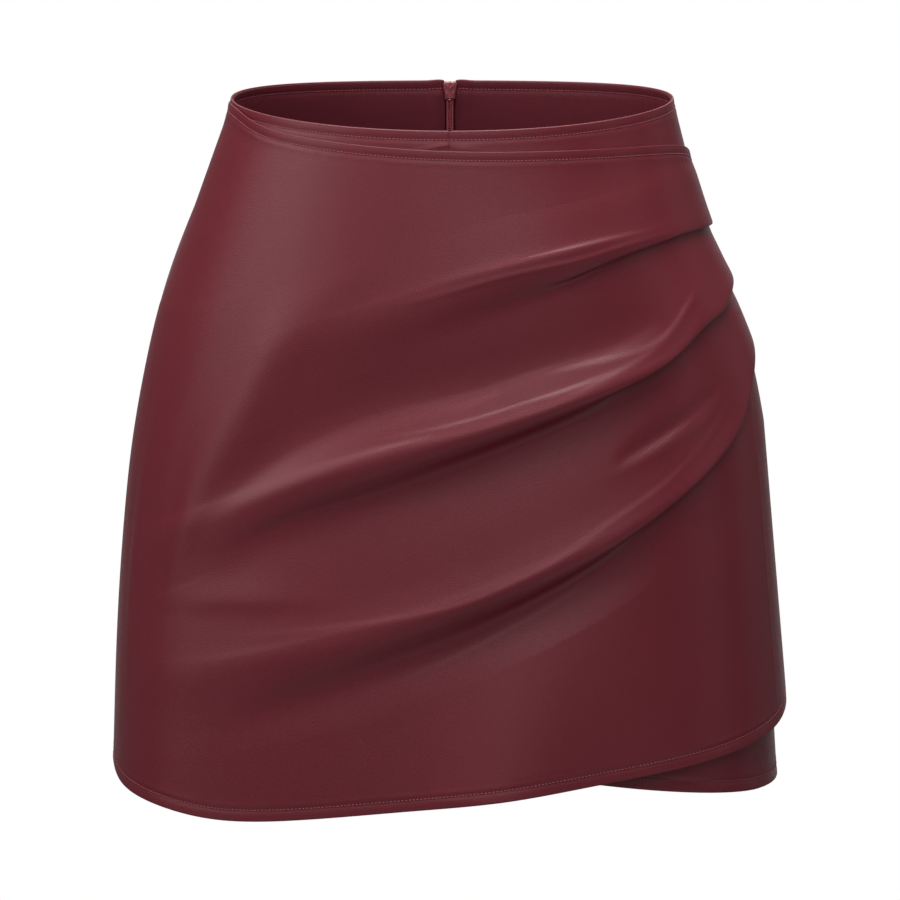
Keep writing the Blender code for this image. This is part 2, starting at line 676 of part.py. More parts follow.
def add_zip_slider(look):
    # Seen from inside the garment: round shoulders above, and a narrower mouth below.
    across, down, radius = SHOULDER.values()
    wide, mouth = SLIDER_HALF_WIDTH, SLIDER_MOUTH_HALF
    outline = [
        *arc((-across, down), radius, 170, 250, 4), *arc((0, 1.6), 1.5, 235, 305, 4),
        *arc((across, down), radius, 290, 370, 4),
        (wide, 5.0), (mouth, 7.2), (mouth, SLIDER_LENGTH),
        (-mouth, SLIDER_LENGTH), (-mouth, 7.2), (-wide, 5.0),
    ]
    vertices, faces = prism(outline, SLIDER_OUT - SLIDER_DEPTH, SLIDER_OUT, 1)
    body = add_object("zip_slider", zip_place(vertices), faces, look)
    low, high = SLIDER_OUT - 1, CROWN["low"] + CROWN["band"] / 2
    neck = [(low, NECK["top"]), (high, NECK["top"]), (high, NECK["bottom"]), (low, NECK["bottom"])]
    vertices, faces = prism(neck, -NECK_HALF, NECK_HALF, 0)
    boolean(body, add_helper("neck", zip_place(vertices), faces, look), "UNION")
    crown = rounded_box(CROWN["low"], CROWN["high"], CROWN["top"], CROWN["bottom"], 1.2)
    vertices, faces = prism(crown, -NECK_HALF, NECK_HALF, 0)
    ring = add_helper("crown", zip_place(vertices), faces, look)
    band = CROWN["band"]
    hole = rounded_box(CROWN["low"] + band, CROWN["high"] - band + 0.1, CROWN["top"] + 1.2,
                       CROWN["bottom"] - 1.2, 0.5)
    vertices, faces = prism(hole, -NECK_HALF - 1, NECK_HALF + 1, 0)
    boolean(ring, add_helper("crown_hole", zip_place(vertices), faces, look), "DIFFERENCE")
    boolean(body, ring, "UNION")
    return body


def rounded_box(left, right, low, high, radius):
    """A rectangle with round corners, as an outline of (first, second) coordinates."""
    return [
        *arc((left + radius, low + radius), radius, 180, 270, 4),
        *arc((right - radius, low + radius), radius, 270, 360, 4),
        *arc((right - radius, high - radius), radius, 0, 90, 4),
        *arc((left + radius, high - radius), radius, 90, 180, 4),
    ]


def leaning(points):
    """Points of the tab, turned about its hinge until the tab's end lies on the cloth."""
    points = np.array(points, float)
    turn = math.radians(PULL_LEAN)
    out, down = points[:, 1] - PULL_OUT, points[:, 2] - PULL_DOWN
    points[:, 1] = PULL_OUT + out * math.cos(turn) - down * math.sin(turn)
    points[:, 2] = PULL_DOWN + down * math.cos(turn) + out * math.sin(turn)
    return points


def add_zip_pull(look):
    """A drop-shaped tab with a bar that hangs in the slider's crown. Its origin is its hinge."""
    start, end = PULL_DOWN - PULL_BAR, PULL_DOWN + PULL_LENGTH
    neck_end = PULL_DOWN + PULL_NECK_END
    outline = [
        (-PULL_NECK_HALF, start), (PULL_NECK_HALF, start), (PULL_NECK_HALF, neck_end),
        *arc((0, end - PULL_HALF_WIDTH), PULL_HALF_WIDTH, 0, 180, 11),
        (-PULL_NECK_HALF, neck_end),
    ]
    hinge = zip_place([(0, PULL_OUT, PULL_DOWN)])[0]
    vertices, faces = prism(outline, PULL_OUT - PULL_THICK / 2, PULL_OUT + PULL_THICK / 2, 1)
    pull = add_object("zip_pull", zip_place(leaning(vertices)) - hinge, faces, look)
    pull.location = hinge * MM
    half = NECK_HALF + PULL_HOLE_PLAY
    hole = rounded_box(-half, half, PULL_DOWN + PULL_BAR, PULL_DOWN + PULL_HOLE, 0.3)
    vertices, faces = prism(hole, PULL_OUT - PULL_THICK, PULL_OUT + PULL_THICK, 1)
    cutter = add_helper("pull_hole", zip_place(leaning(vertices)), faces, look)
    boolean(pull, cutter, "DIFFERENCE")
    return pull


def clear_scene():
    for found in list(bpy.data.objects):
        bpy.data.objects.remove(found)


def main():
    clear_scene()
    fronts = {side: shorts_grid(side, "front", SHORTS_COLUMNS, SHORTS_ROWS) for side in SIDE_SEAM}
    backs = {side: shorts_grid(side, "back", SHORTS_COLUMNS, SHORTS_ROWS) for side in SIDE_SEAM}
    for side in SIDE_SEAM:
        add_shorts_panel(side, "front", fronts[side], COATED)
        add_shorts_panel(side, "back", backs[side], COATED)
        add_facing_back(side, backs[side], COATED_INSIDE)
        add_zip_tape(side, backs[side], TAPE)
    add_drape(COATED)
    add_facing_front(fronts["right"], fronts["left"], COATED_INSIDE)
    add_zip_chain(backs["left"], LACQUER)
    add_zip_stop(backs["left"], LACQUER)
    add_zip_slider(LACQUER)
    add_zip_pull(LACQUER)


main()
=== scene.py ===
"""Looks of a ruched skort with a draped front, in smooth coated cloth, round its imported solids.

Lengths in this file are millimetres and the meshes are made in metres. +Z is up, -Y is the front
and +X is the wearer's left. The origin is the middle of the waist opening.

A place on the cloth is a bearing, a drop and a stand: degrees round the body from the centre
front, positive to the wearer's left; millimetres below the origin; and millimetres out from the
outer face of the shorts.
"""

import math

import bpy
import numpy as np
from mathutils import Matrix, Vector

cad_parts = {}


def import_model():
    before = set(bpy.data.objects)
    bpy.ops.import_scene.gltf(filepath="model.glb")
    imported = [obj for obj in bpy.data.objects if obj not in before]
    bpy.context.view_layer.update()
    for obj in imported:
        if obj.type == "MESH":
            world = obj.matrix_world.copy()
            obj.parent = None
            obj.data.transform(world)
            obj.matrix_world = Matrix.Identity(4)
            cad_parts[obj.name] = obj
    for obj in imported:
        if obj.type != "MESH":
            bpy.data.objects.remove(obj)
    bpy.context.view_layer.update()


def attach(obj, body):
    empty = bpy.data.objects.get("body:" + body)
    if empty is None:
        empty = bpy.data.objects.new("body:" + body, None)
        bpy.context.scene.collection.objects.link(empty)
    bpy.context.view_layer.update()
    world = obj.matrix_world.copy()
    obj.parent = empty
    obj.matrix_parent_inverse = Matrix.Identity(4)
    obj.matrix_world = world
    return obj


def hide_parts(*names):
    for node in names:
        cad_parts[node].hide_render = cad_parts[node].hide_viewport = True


MM = 0.001
# Round the body: how much cloth lies on a degree, and the reach that the drape's columns stand at
MM_PER_DEGREE = 2.85
MEAN_REACH = 160.0


def table(columns, rows):
    """Rows of numbers under named columns, as a list for each column."""
    return {name: [row[i] for row in rows] for i, name in enumerate(columns.split())}


# Cloth. The shorts' outer face stays where their solids' is, and a wall is as thin as real cloth.
WALL = 0.9
DRAPE_WALL = 0.65
DRAPE_OUT = 1.6
TRIM_WALL = 0.8
SEAM_HALF_GAP = 0.06
SIDE_SEAM = {"left": 98.0, "right": -82.0}
SIDE_SIGN = {"left": 1.0, "right": -1.0}

# Shorts: where the body forks into legs, and where the legs end at the side seams
FORK_DROP = 185.0
CROTCH_DROP = 272.0
LEG_FORMED_DROP = 330.0
LEG_DEPTH_SHARE = {"front": 0.9, "back": 0.97}
LEG_HEM_DROP = {"left": 378.2, "right": 372.0}
LEG_HEM_RISE = {"left": 10.0, "right": 13.0}
INSEAM_AT_HEM = 5.0
CROTCH_BLEND = 0.35
SIDE_HOLD = 0.75
GIVE_FROM_SIDE = 12.0
GIVE_FADE = 60.0
WAIST_DROP = {"front": 11.5, "side": 0.5, "back": -1.2}

# Facing, and the corners that curl up beside the zip
LAYER_GAP = 0.1
FACING_EDGE = 3.0
FACING_SPREAD = 1.8
NOTCH_DEPTH = 16.0
NOTCH_SPREAD = 3.0
CORNER = {"rise": 0.5, "across": 6.5, "wide": 4.5, "deep": 12.0}
TAPE_STEP = {"past": 1.0, "long": 3.0}
RIPPLE = 0.16
RIPPLE_REACH = 90.0
RIPPLE_IN = 2.0
RIPPLE_WIDTH = 5.0
RIPPLE_WAVES = {"fast": 1.9, "drift": 0.37, "bend": 0.8, "slow": 0.83, "share": 0.6, "start": 1.4}
RIPPLE_PATCH = {"rate": 0.11, "start": 1.0, "least": 0.35, "middle": 0.8, "width": 0.7}

# Zip: its tapes, its coil and its stop
TAPE_WIDTH = 9.0
TAPE_WALL = 0.55
TAPE_EDGE = 0.6
TAPE_SPREAD = 2.2
TAPE_END_DROP = 186.0
COIL_TOP_DROP = 6.4
COIL_END_DROP = 176.0
COIL_PITCH = 1.25
COIL_WIRE = 0.3
COIL_HALF_WIDTH = 1.45
COIL_HALF_DEPTH = 0.55
COIL_STAND = -3.55
COIL_HOOK = 0.25
COIL_OVERLAP = 0.1
COIL_POINTS = 10
COIL_SIDES = 5
CORD_ACROSS = 1.45
CORD_RADIUS = 0.42
CORD_POINTS = 90
CORD_SIDES = 8
# "slope" is how far down the centre back's slope is taken for the stop
STOP = {"half_width": 2.2, "length": 3.5, "near": -2.9, "far": -5.0, "down": 0.3, "corner": 0.9,
        "edge": 0.5, "slope": 10.0}

# Zip slider and its tab, seen in the plane of the centre back: "out" is away from the cloth's
# outer face, and "down" runs along it
ZIP_TOP_DROP = -1.2
ZIP_SLOPE_END = 24.0
SLIDER = {"length": 10.6, "near": -4.1, "far": -6.9, "rise": 1.7, "edge": 0.75, "corner": 0.5}
SHOULDER = {"across": 2.0, "down": 2.3, "radius": 1.75}
DIP = {"down": 1.9, "radius": 1.45}
# Across and down along the slider's flank, from the shoulder to the mouth
FLANK = ((3.6, 3.6), (3.5, 5.0), (3.22, 6.2), (2.95, 7.4))
# The lines raised on its inner face, across and down with their radii: the bow that parts the
# teeth, and a rail on each side below it
BOW = ((-2.5, 1.7, 0.1), (-1.2, 2.9, 0.3), (0, 4.6, 0.38), (1.2, 2.9, 0.3), (2.5, 1.7, 0.1))
RAIL_ACROSS = 1.9
RAIL = ((5.6, 0.15), (7.4, 0.3), (9.4, 0.15))
LINE_SINK = 0.05
ROUND_SIDES = 8
NECK = {"half": 0.7, "top": 4.4, "bottom": 8.4, "corner": 0.3, "edge": 0.2, "into": 0.6, "over": 0.4}
CROWN = {"low": 0.5, "high": 3.7, "top": 2.4, "bottom": 10.4, "band": 0.9, "corner": 0.95,
         "thick": 1.08, "narrow": 0.95, "sides": 12}
PULL = {"out": 2.15, "down": 8.4, "bar": 0.5, "hole": 2.95, "hole_half": 1.05, "length": 22.0,
        "half_width": 2.9, "neck_half": 1.9, "neck_end": 5.0, "thick": 1.0, "lean": 2.7,
        "corner": 0.5, "hole_corner": 0.6, "edge": 0.3, "points": 160}

# Stitched edges: how far in the stitches run, how far the turned-in cloth makes the edge thicker,
# and how much of that shows as relief on the outer face
WAIST_STITCH = 4.5
HEM_STITCH = 5.7
TURNED_WALL = 0.5
TURNED_RELIEF = 0.2
TURNED_END = {"relief": (1.0, 4.0), "wall": (1.5, 3.0)}
STITCH_SINK = 0.42
STITCH_SINK_WIDTH = 1.5
# Swellings next to the stitches: their height, how far in they lie, their waves and the patches
# where they are high, both in radians to a millimetre, and where each edge's begin
PUCKER = 0.1
PUCKER_IN = 2.6
PUCKER_WAVES = {"fast": 0.62, "drift": 0.13, "bend": 1.1, "slow": 0.31, "share": 0.7, "start": 2}
PUCKER_PATCH = {"rate": 0.043, "start": 0.7, "least": 0.4}
PUCKER_START = {"waist": 0, "leg": 0, "drape_top": 17, "drape_hem": 40}
SEAM_SINK = 0.45
SEAM_SINK_WIDTH = 0.8

# Stitches
STITCH_PITCH = 2.1
STITCH_LENGTH = 1.65
STITCH_RADIUS = 0.3
STITCH_LIFT = 0.55

# Distances of the rows next to a stitched edge, and of the columns next to a seam
EDGE_STEPS = (0, 0.4, 1.0, 1.8, 2.8, 3.7, 4.3, 4.8, 5.4, 6.2, 7.1, 8, 8.9, 9.9, 11.1, 12.6, 14.5)
SEAM_STEPS = (0, 0.35, 0.9, 1.7, 2.8, 4.5, 6.5, 9)

# Rows and columns of the pieces' grids: a quarter's width that its seams' steps are a share of, and
# how densely the drape's columns stand
QUARTER_WIDTH = 200.0
DRAPE_COLUMNS = 154
PLACE_SAMPLES = 2000
COLUMN_DENSITY = table("bearing share", (
    (-82, 0.7), (-50, 0.85), (-30, 1), (30, 1.05), (60, 1.05), (66, 1.3), (69, 2), (73, 2), (77, 1.3),
    (84, 0.9), (98, 0.8),
))
DRAPE_ROWS = 240
SHORTS_COLUMNS = 46
SHORTS_ROWS = {"body": 44, "fork": 34, "leg": 26}
FACING_COLUMNS = 130
TAPE_ROWS = 60
TAPE_COLUMNS = 7

# Distances of the facing's rows from the waist edge; the last is its depth
FACING_STEPS = (0.35, 0.8, 1.4, 2.2, 3.1, 3.8, 4.5, 5.2, 6.0, 7.2, 9, 12, 16, 21, 26, 30, 33, 34.4, 35)

# A stitch's shape: half its length is 1 and its radius is 1
STITCH_RINGS = table("place size", (
    (-1, 0.3), (-0.78, 0.75), (-0.3, 1), (0.3, 1), (0.78, 0.75), (1, 0.3),
))
STITCH_SIDES = 6
STITCH_DIP = 0.2
# Size and place of the near-black tubes between stitches: painted shade in the needle pits
HOLE_SHADE_RADIUS = 0.26
HOLE_SHADE_LIFT = 0.05
HOLE_SHADE_SINK = 0.15


# Outer face of the shorts: how far it reaches from the origin's axis at each drop, and how much
# squarer than an ellipse it is there
FORM = table("drop left right front back square", (
    (-5, 122.2, 119.6, 90.5, 91.5, 0.03),
    (0, 123.2, 120.8, 91, 92, 0.03),
    (30, 130.5, 129.3, 96, 97.5, 0.035),
    (60, 137.8, 141.2, 100.5, 105, 0.04),
    (90, 147, 153, 104, 113, 0.045),
    (120, 157.5, 162.2, 106.5, 119, 0.055),
    (150, 165, 169, 108, 122.5, 0.065),
    (190, 171.2, 176, 109.5, 123.5, 0.08),
    (230, 175, 180.4, 111, 121, 0.1),
    (270, 177.5, 183.4, 112.5, 118, 0.13),
    (310, 179.4, 185.4, 114, 115, 0.15),
    (345, 180.8, 186.5, 115, 113, 0.165),
    (395, 184, 188, 116, 111, 0.175),
))

# How far the shorts lie back behind the draped panel, so that its folds hang clear of them.
GIVE = table("drop back", (
    (-5, 0), (40, 0), (75, 1.5), (105, 4), (150, 5.5), (250, 5), (300, 2.5), (335, 0.5), (395, 0),
))

# Upper edge and hem of the draped panel.
DRAPE_TOP = table("bearing drop", (
    (-82, 2.2), (-70, 5), (-55, 11.6), (-40, 16), (-20, 20), (0, 22.4), (27, 23), (50, 23), (66, 24),
    (80, 26.8), (90, 31), (98, 35),
))
DRAPE_HEM = table("bearing drop", (
    (-82, 366), (-74, 372.5), (-63, 377.8), (-50, 382.4), (-36, 386.2), (-20, 383.4), (0, 375.2),
    (26, 363), (45, 355), (64, 346.6), (80, 338.8), (90, 332.5), (98, 325),
))

# The three pleats, from the top. Each row is a place along one fold: where its edge lies, how
# deep the fold is, how far it is folded over, from 0 for a soft wave to 1 for a pleat, and how
# late the cloth above it rises, from 0 for a long slope to 1 for a short one.
PLEATS = [table("bearing drop depth over late", rows) for rows in (
    (
        (-82, 165, 0, 0, 0), (-62, 162, 0, 0, 0), (-45, 150, 0, 0.05, 0), (-30, 131, 0.8, 0.1, 0),
        (-17, 119, 1.9, 0.14, 0), (-4, 106.5, 3.1, 0.2, 0), (8, 96, 4.2, 0.28, 0),
        (20, 89.5, 5, 0.42, 0), (29, 85.5, 5, 0.56, 0), (37, 81.5, 4.5, 0.74, 0),
        (47, 77, 3.6, 0.96, 0), (61, 72.5, 3, 1, 0), (75, 71.5, 2.7, 1, 0), (90, 72, 2.6, 1, 0),
        (98, 73, 2.4, 1, 0),
    ),
    (
        (-82, 252, 0, 0, 0), (-65, 246, 0.3, 0.05, 0.5), (-50, 236, 1.4, 0.08, 0.8),
        (-30, 213.5, 3.6, 0.14, 0.8), (-9, 191.5, 6, 0.24, 0.85), (12, 171.5, 7.4, 0.44, 0.9),
        (29, 154.5, 7.8, 0.66, 1), (45, 137.5, 5.4, 0.95, 0.7), (57, 122.5, 4.6, 1, 0),
        (68, 115.5, 4.2, 1, 0), (76, 108.8, 4, 1, 0), (90, 102, 3.4, 1, 0), (98, 99, 2.6, 1, 0),
    ),
    (
        (-82, 318, 0, 0, 0), (-62, 317, 0.3, 0, 0), (-47, 315, 1.4, 0.05, 0), (-26, 302, 4, 0.1, 0),
        (-8, 285.5, 6, 0.2, 0), (9, 264.5, 7.2, 0.4, 0), (25, 240.5, 7.4, 0.6, 0.1),
        (38, 218, 6, 0.82, 0.3), (47, 203.5, 5, 0.96, 0.5), (55, 190.5, 4.4, 1, 0.6),
        (65, 173, 4, 1, 0.3), (74, 155.5, 3.8, 1, 0), (90, 138, 3, 1, 0), (98, 132, 2.6, 1, 0),
    ),
)]
PLEAT_OVERLAP = 8.5
OVERLAP_SHARE = 0.2

# Course of the cloth over one pleat, from the layer above to the layer below, in three states:
# a soft wave, a steep lip and a pressed pleat. Each state says where a point of the cloth lies:
# down from the pleat's edge, and out as a share of its depth. "above" and "below" points scale
# with the space to the next pleat on that side, "fold" points with the pleat's overlap, and
# "edge" points are millimetres. "late" is the part of its height that a point loses where the
# cloth rises late.
PLEAT_COURSE = table("kind soft_down soft_out lip_down lip_out pressed_down pressed_out late", (
    ("above", -0.68, 0.30, -0.68, 0.32, -0.68, 0.34, 0.8),
    ("above", -0.48, 0.52, -0.48, 0.53, -0.48, 0.55, 0.66),
    ("above", -0.32, 0.74, -0.31, 0.73, -0.30, 0.74, 0.46),
    ("edge", -12.3, 0.93, -11.5, 0.93, -7.3, 0.93, 0.2),
    ("edge", -6.3, 1.00, -6.0, 1.02, -2.4, 1.03, 0),
    ("edge", -0.3, 0.86, -1.3, 0.90, -0.1, 0.86, 0),
    ("fold", 0.75, 0.62, 0.25, 0.62, -0.16, 0.44, 0),
    ("fold", 1.50, 0.38, 0.42, 0.34, -0.9, 0.44, 0),
    ("fold", 2.30, 0.18, 0.48, 0.13, -1.55, 0.42, 0),
    ("fold", 3.10, 0.05, 0.85, 0.0, -1.5, -0.04, 0),
    ("edge", 31.0, 0.0, 12.0, 0.0, -7.3, 0.0, 0),
    ("below", 0.52, 0.0, 0.24, 0.0, 0.09, 0.0, 0),
))
ABOVE_REACH = 46.0
BELOW_REACH = 70.0
TOP_SHARES = (0.1, 0.38, 0.7)
HEM_SHARES = (0.35, 0.7, 0.95, 1.0)
TOP_MARGIN = 12.0
HEM_MARGIN = 30.0
# Where a layer starts and ends, in points of the course from the first of the pleat above it and
# from the first of the pleat below it
LAYER_START = 9.4
LAYER_END = 5.6
LAYER_FADE = 0.8
# How finely the course is sampled, how many of its points at its top and its hem are plain, and
# how its rows share out: by a power of the longest step in any column and part of the mean one
COURSE_SAMPLES = 3000
PLAIN_TOP = 3.5
PLAIN_HEM = 3.5
MEAN_STEP_SHARE = 0.25
ROW_POWER = 0.5
# How much longer than the rows at an edge its plain part is where they aren't squeezed
EDGE_ROOM = 2.0

# How far the draped panel hangs away from the shorts, by drop, and how much of that it keeps
# at each bearing: none at the side seams, where it is sewn on.
HANG = table("drop out", (
    (0, 0), (30, 0.2), (60, 0.6), (100, 1.0), (150, 2.0), (190, 3.2), (270, 4.4), (345, 5.8),
    (395, 6.2),
))
HANG_SHARE = table("bearing share", (
    (-82, 0), (-70, 0.25), (-50, 0.8), (-30, 1), (60, 1), (84, 1), (92, 0.75), (98, 0.05),
))

# Creases of the draped panel, apart from its pleats. Each has its layer, the stretch of cloth that
# it lies on, counted from 0 above the first pleat, or None where all layers take it; then the way
# it runs; then its rows. A row is a place along it, how far it rises or, below 0, sinks there, and
# how wide it is towards its upper and its lower side, or its right and its left where it runs down.
CREASE_COLUMNS = "bearing drop height upper lower"
CREASE_LEAST_WIDTH = 0.5
DRAPE_CREASES = (
    (0, "bearing", (
        (-6, 94, 0, 2.4, 4), (4, 88, 0.2, 2, 4), (11, 83.5, 0.45, 1.8, 4), (18, 79.5, 0.6, 1.6, 3.6),
        (26, 75.5, 0.6, 1.5, 3.4), (36, 71.5, 0.5, 1.5, 3), (46, 68.7, 0.3, 1.5, 3),
        (55, 66.5, 0, 1.5, 3),
    )),
    (0, "bearing", (
        (-12, 106, 0, 1.8, 2), (-2, 99, 0.2, 1.6, 2), (6, 92.6, 0.35, 1.5, 1.8),
        (17, 86, 0.45, 1.5, 1.8), (29, 80.5, 0.5, 1.4, 1.6), (37, 76, 0.5, 1.4, 1.6),
        (46, 72.6, 0.35, 1.4, 1.4), (56, 70, 0, 1.4, 1.4),
    )),
    (1, "bearing", (
        (-52, 231, 0, 4, 5), (-43, 223, 0.1, 3.4, 5), (-37, 214.6, 0.15, 3, 5),
        (-28, 203.4, 0.2, 2.6, 4.6), (-18, 191.6, 0.3, 2.2, 4), (-8, 181, 0.35, 2, 3.6),
        (2, 173.4, 0.35, 1.8, 3.2), (11, 165, 0.35, 1.7, 2.8), (19, 157.2, 0.32, 1.7, 2.6),
        (27, 147.6, 0.3, 1.7, 2.6), (34, 139, 0.28, 1.7, 2.4), (40, 132.6, 0.2, 1.7, 2.2),
        (44.5, 126.5, 0.1, 1.7, 2), (48, 121, 0, 1.7, 2),
    )),
    (1, "bearing", (
        (-14, 179.4, 0, 1.5, 1.7), (-8, 175, 0.2, 1.5, 1.7), (3.8, 166, 0.3, 1.5, 1.7),
        (11, 159, 0.3, 1.5, 1.6), (19, 152, 0.25, 1.5, 1.6), (27, 144.6, 0.15, 1.5, 1.6),
        (32, 139, 0, 1.5, 1.6),
    )),
    (1, "bearing", (
        (-2, 171, 0, 3, 4), (3, 161.6, 0.15, 3, 4.4), (8, 152, 0.25, 2.8, 4.8),
        (13, 145.4, 0.4, 2.6, 5.4), (18, 141.4, 0.45, 2.4, 5.4), (25, 138, 0.45, 2.3, 5.4),
        (32, 135, 0.45, 2.2, 5), (38, 131.4, 0.5, 2.2, 4.4), (43, 126.6, 0.6, 2, 3.8),
        (47.5, 119.8, 0.65, 1.9, 3.4), (51.5, 112.6, 0.65, 1.8, 3.2), (56, 105.5, 0.4, 1.8, 3),
        (60, 99, 0, 1.8, 3),
    )),
    (None, "bearing", (
        (-54, 248, 0, 15, 12), (-50, 222, 1.4, 17, 14), (-46, 199, 2.3, 18, 16), (-41, 174, 3, 18, 18),
        (-36, 149, 3, 18, 20), (-30, 121, 2, 17, 20), (-22, 98, 0.9, 15, 16), (-12, 82, 0, 12, 12),
    )),
    (None, "bearing", (
        (-47, 230, 0, 14, 8), (-38, 206, -1.6, 16, 9), (-31, 190, -2.8, 19, 10),
        (-22, 174, -3.6, 21, 11), (-12, 161, -4, 22, 11), (0, 152, -3.8, 22, 9),
        (10, 144, -3.3, 21, 7.5), (21, 134.5, -2.8, 20, 6.5), (32, 126, -2.1, 18, 6),
        (46, 111, 0, 14, 6),
    )),
    (None, "bearing", (
        (-40, 244, 0, 6, 16), (-31, 230, -1.4, 6, 20), (-24, 221, -2.4, 7, 24), (-11, 207, -3.2, 7, 26),
        (0, 194, -3.6, 7, 27), (9, 184, -3.6, 7, 27), (19, 173, -3.2, 7, 26), (29, 163, -2.4, 7, 22),
        (39, 152, -1.2, 6, 16), (49, 142, 0, 6, 12),
    )),
    (None, "bearing", (
        (-36, 334, 0, 9, 14), (-24, 321, -1.4, 9, 16), (-11, 302, -2.4, 9, 16), (0, 286, -3, 9, 17),
        (11, 270, -3, 9, 18), (21, 255, -2.8, 9, 20), (32, 238, -1.4, 8, 17), (42, 222, 0, 6, 12),
    )),
    (None, "drop", (
        (-66, 150, 0, 5, 6), (-67, 190, 0.5, 5, 6), (-68, 240, 0.7, 5, 6), (-68, 285, 0.4, 5, 6),
        (-67, 320, 0, 5, 6),
    )),
    (2, "bearing", (
        (-36, 288, 0, 3, 4), (-23, 282.4, 0.25, 2.4, 4), (-15, 278.4, 0.4, 2, 4),
        (-7, 273.4, 0.45, 1.8, 3.6), (3.5, 263.6, 0.5, 1.6, 3.4), (10, 253.8, 0.5, 1.6, 3.2),
        (17, 242, 0.5, 1.6, 3), (24.5, 226.8, 0.5, 1.6, 3), (31, 215.4, 0.45, 1.6, 3),
        (38, 204, 0.4, 1.6, 3), (46, 189.8, 0.3, 1.6, 3), (54, 175, 0.2, 1.6, 3), (60, 163, 0, 1.6, 3),
    )),
    (2, "bearing", (
        (28, 193.5, 0, 5, 2), (32, 187, -1.2, 5.6, 2.2), (36, 181.8, -1.8, 6, 2.4),
        (41, 175.2, -1.8, 6, 2.6), (46.5, 168.6, -1.3, 5.6, 2.6), (53, 161, -0.6, 5, 2.6),
        (60, 153, 0, 5, 2.6),
    )),
    (2, "bearing", (
        (25, 198, 0, 2.2, 3.6), (28, 195.4, 0.15, 2.2, 3.6), (31.5, 192, 0.25, 2.2, 3.6),
        (36, 187.6, 0.35, 2.2, 3.6), (43, 180.2, 0.38, 2.2, 3.6), (49.5, 173.2, 0.35, 2.2, 3.4),
        (54, 167.5, 0.2, 2.2, 3.2), (58, 162, 0, 2.2, 3),
    )),
    (2, "bearing", (
        (-58, 270, 0, 9, 6), (-48, 268.6, 0.4, 9, 6), (-38, 266.8, 0.7, 9, 6), (-30, 265.8, 0.7, 9, 6),
        (-23, 265, 0.4, 9, 6), (-12, 262, 0, 9, 6),
    )),
    (3, "drop", (
        (30, 256, 0, 20, 18), (23.5, 278, 1.8, 22, 21), (16.5, 300, 3.8, 25, 24),
        (11, 323, 6.2, 28, 27), (8.5, 346, 9, 30, 30), (7, 372, 11.5, 32, 33),
    )),
    (3, "drop", (
        (77, 146, 0, 1.6, 1.8), (74, 160, 0.3, 1.6, 1.8), (71.8, 175, 0.5, 1.6, 1.8),
        (71.4, 192, 0.55, 1.6, 1.8), (70.5, 219, 0.5, 1.6, 1.8), (68.3, 248, 0.35, 1.6, 1.8),
        (67, 280, 0, 1.6, 1.8),
    )),
)

# Creases of the shorts, quarter by quarter, in the same terms but without layers
SHORTS_CREASES = {
    ("left", "back"): (
        ("bearing", (
            (100, 128, 0, 5, 5), (112, 140, 0.9, 6, 6), (126, 156, 1.3, 7, 6), (142, 170, 1, 7, 6),
            (156, 178, 0.4, 6, 6), (164, 182, 0, 6, 6),
        )),
        ("bearing", (
            (100, 240, 0, 9, 9), (114, 254, -0.5, 11, 9), (130, 264, -1, 13, 10),
            (146, 263, -0.8, 13, 10), (160, 254, -0.3, 11, 9), (170, 246, 0, 9, 9),
        )),
        ("bearing", (
            (106, 270, 0, 7, 6), (120, 282, 0.5, 8, 7), (134, 287, 0.8, 8, 7), (150, 282, 0.4, 8, 6),
            (162, 274, 0, 7, 6),
        )),
        ("drop", (
            (126, 290, 0, 12, 12), (128, 315, 1.4, 14, 14), (131, 345, 2, 16, 14),
            (134, 378, 1.4, 16, 16),
        )),
        ("bearing", (
            (162, 200, 0, 3, 3), (169, 193, 0.5, 3, 3), (175, 188, 0.7, 3, 3), (180, 186, 0.5, 3, 3),
        )),
    ),
    ("right", "back"): (
        ("bearing", (
            (-164, 188, 0, 6, 6), (-154, 182, 0.6, 6, 6), (-140, 172, 1.2, 7, 6),
            (-124, 154, 1.5, 7, 6), (-108, 134, 0.9, 6, 6), (-92, 118, 0, 5, 5),
        )),
        ("bearing", (
            (-172, 250, 0, 9, 9), (-160, 259, -0.4, 11, 9), (-146, 267, -0.9, 13, 10),
            (-130, 266, -1.1, 13, 10), (-114, 254, -0.5, 11, 9), (-98, 238, 0, 9, 9),
        )),
        ("bearing", (
            (-160, 280, 0, 7, 6), (-144, 290, 0.6, 8, 7), (-128, 289, 0.8, 8, 7),
            (-112, 279, 0.3, 8, 6), (-102, 270, 0, 7, 6),
        )),
        ("drop", (
            (-120, 292, 0, 12, 12), (-122, 320, 1.2, 14, 12), (-126, 350, 1.8, 16, 14),
            (-128, 372, 1.2, 16, 16),
        )),
        ("bearing", (
            (-180, 187, 0.4, 3, 3), (-175, 189, 0.6, 3, 3), (-169, 194, 0.4, 3, 3),
            (-162, 201, 0, 3, 3),
        )),
    ),
    ("right", "front"): (
        ("bearing", (
            (-9, 21.8, 0, 1, 1.4), (-6, 21, 0.35, 1, 1.3), (-3.4, 19.6, 0.55, 0.9, 1.3),
            (-1.4, 18.8, 0.5, 0.9, 1.3), (0, 18.6, 0.2, 0.9, 1.3),
        )),
    ),
    ("left", "front"): (
        ("bearing", (
            (0, 19.6, 0.15, 1.2, 1.2), (3, 20.4, 0.3, 1.4, 1.4), (8, 21.6, 0, 1.4, 1.4),
        )),
    ),
}


# Looks: kinds of pattern, the part of a pattern's range that varies a number, and the cloth's
# colour, with a lighter, pinker copy of it for the facing inside the waist: painted light and sheen
# there
NOISE, CELLS, WAVES = "ShaderNodeTexNoise", "ShaderNodeTexVoronoi", "ShaderNodeTexWave"
PATTERN_RANGE = {"From Min": 0.3, "From Max": 0.7}
CLOTH_COLOUR = (0.194, 0.0198, 0.0322)
FACING_PAINTED_LIGHT_COLOUR = (0.215, 0.036, 0.052)

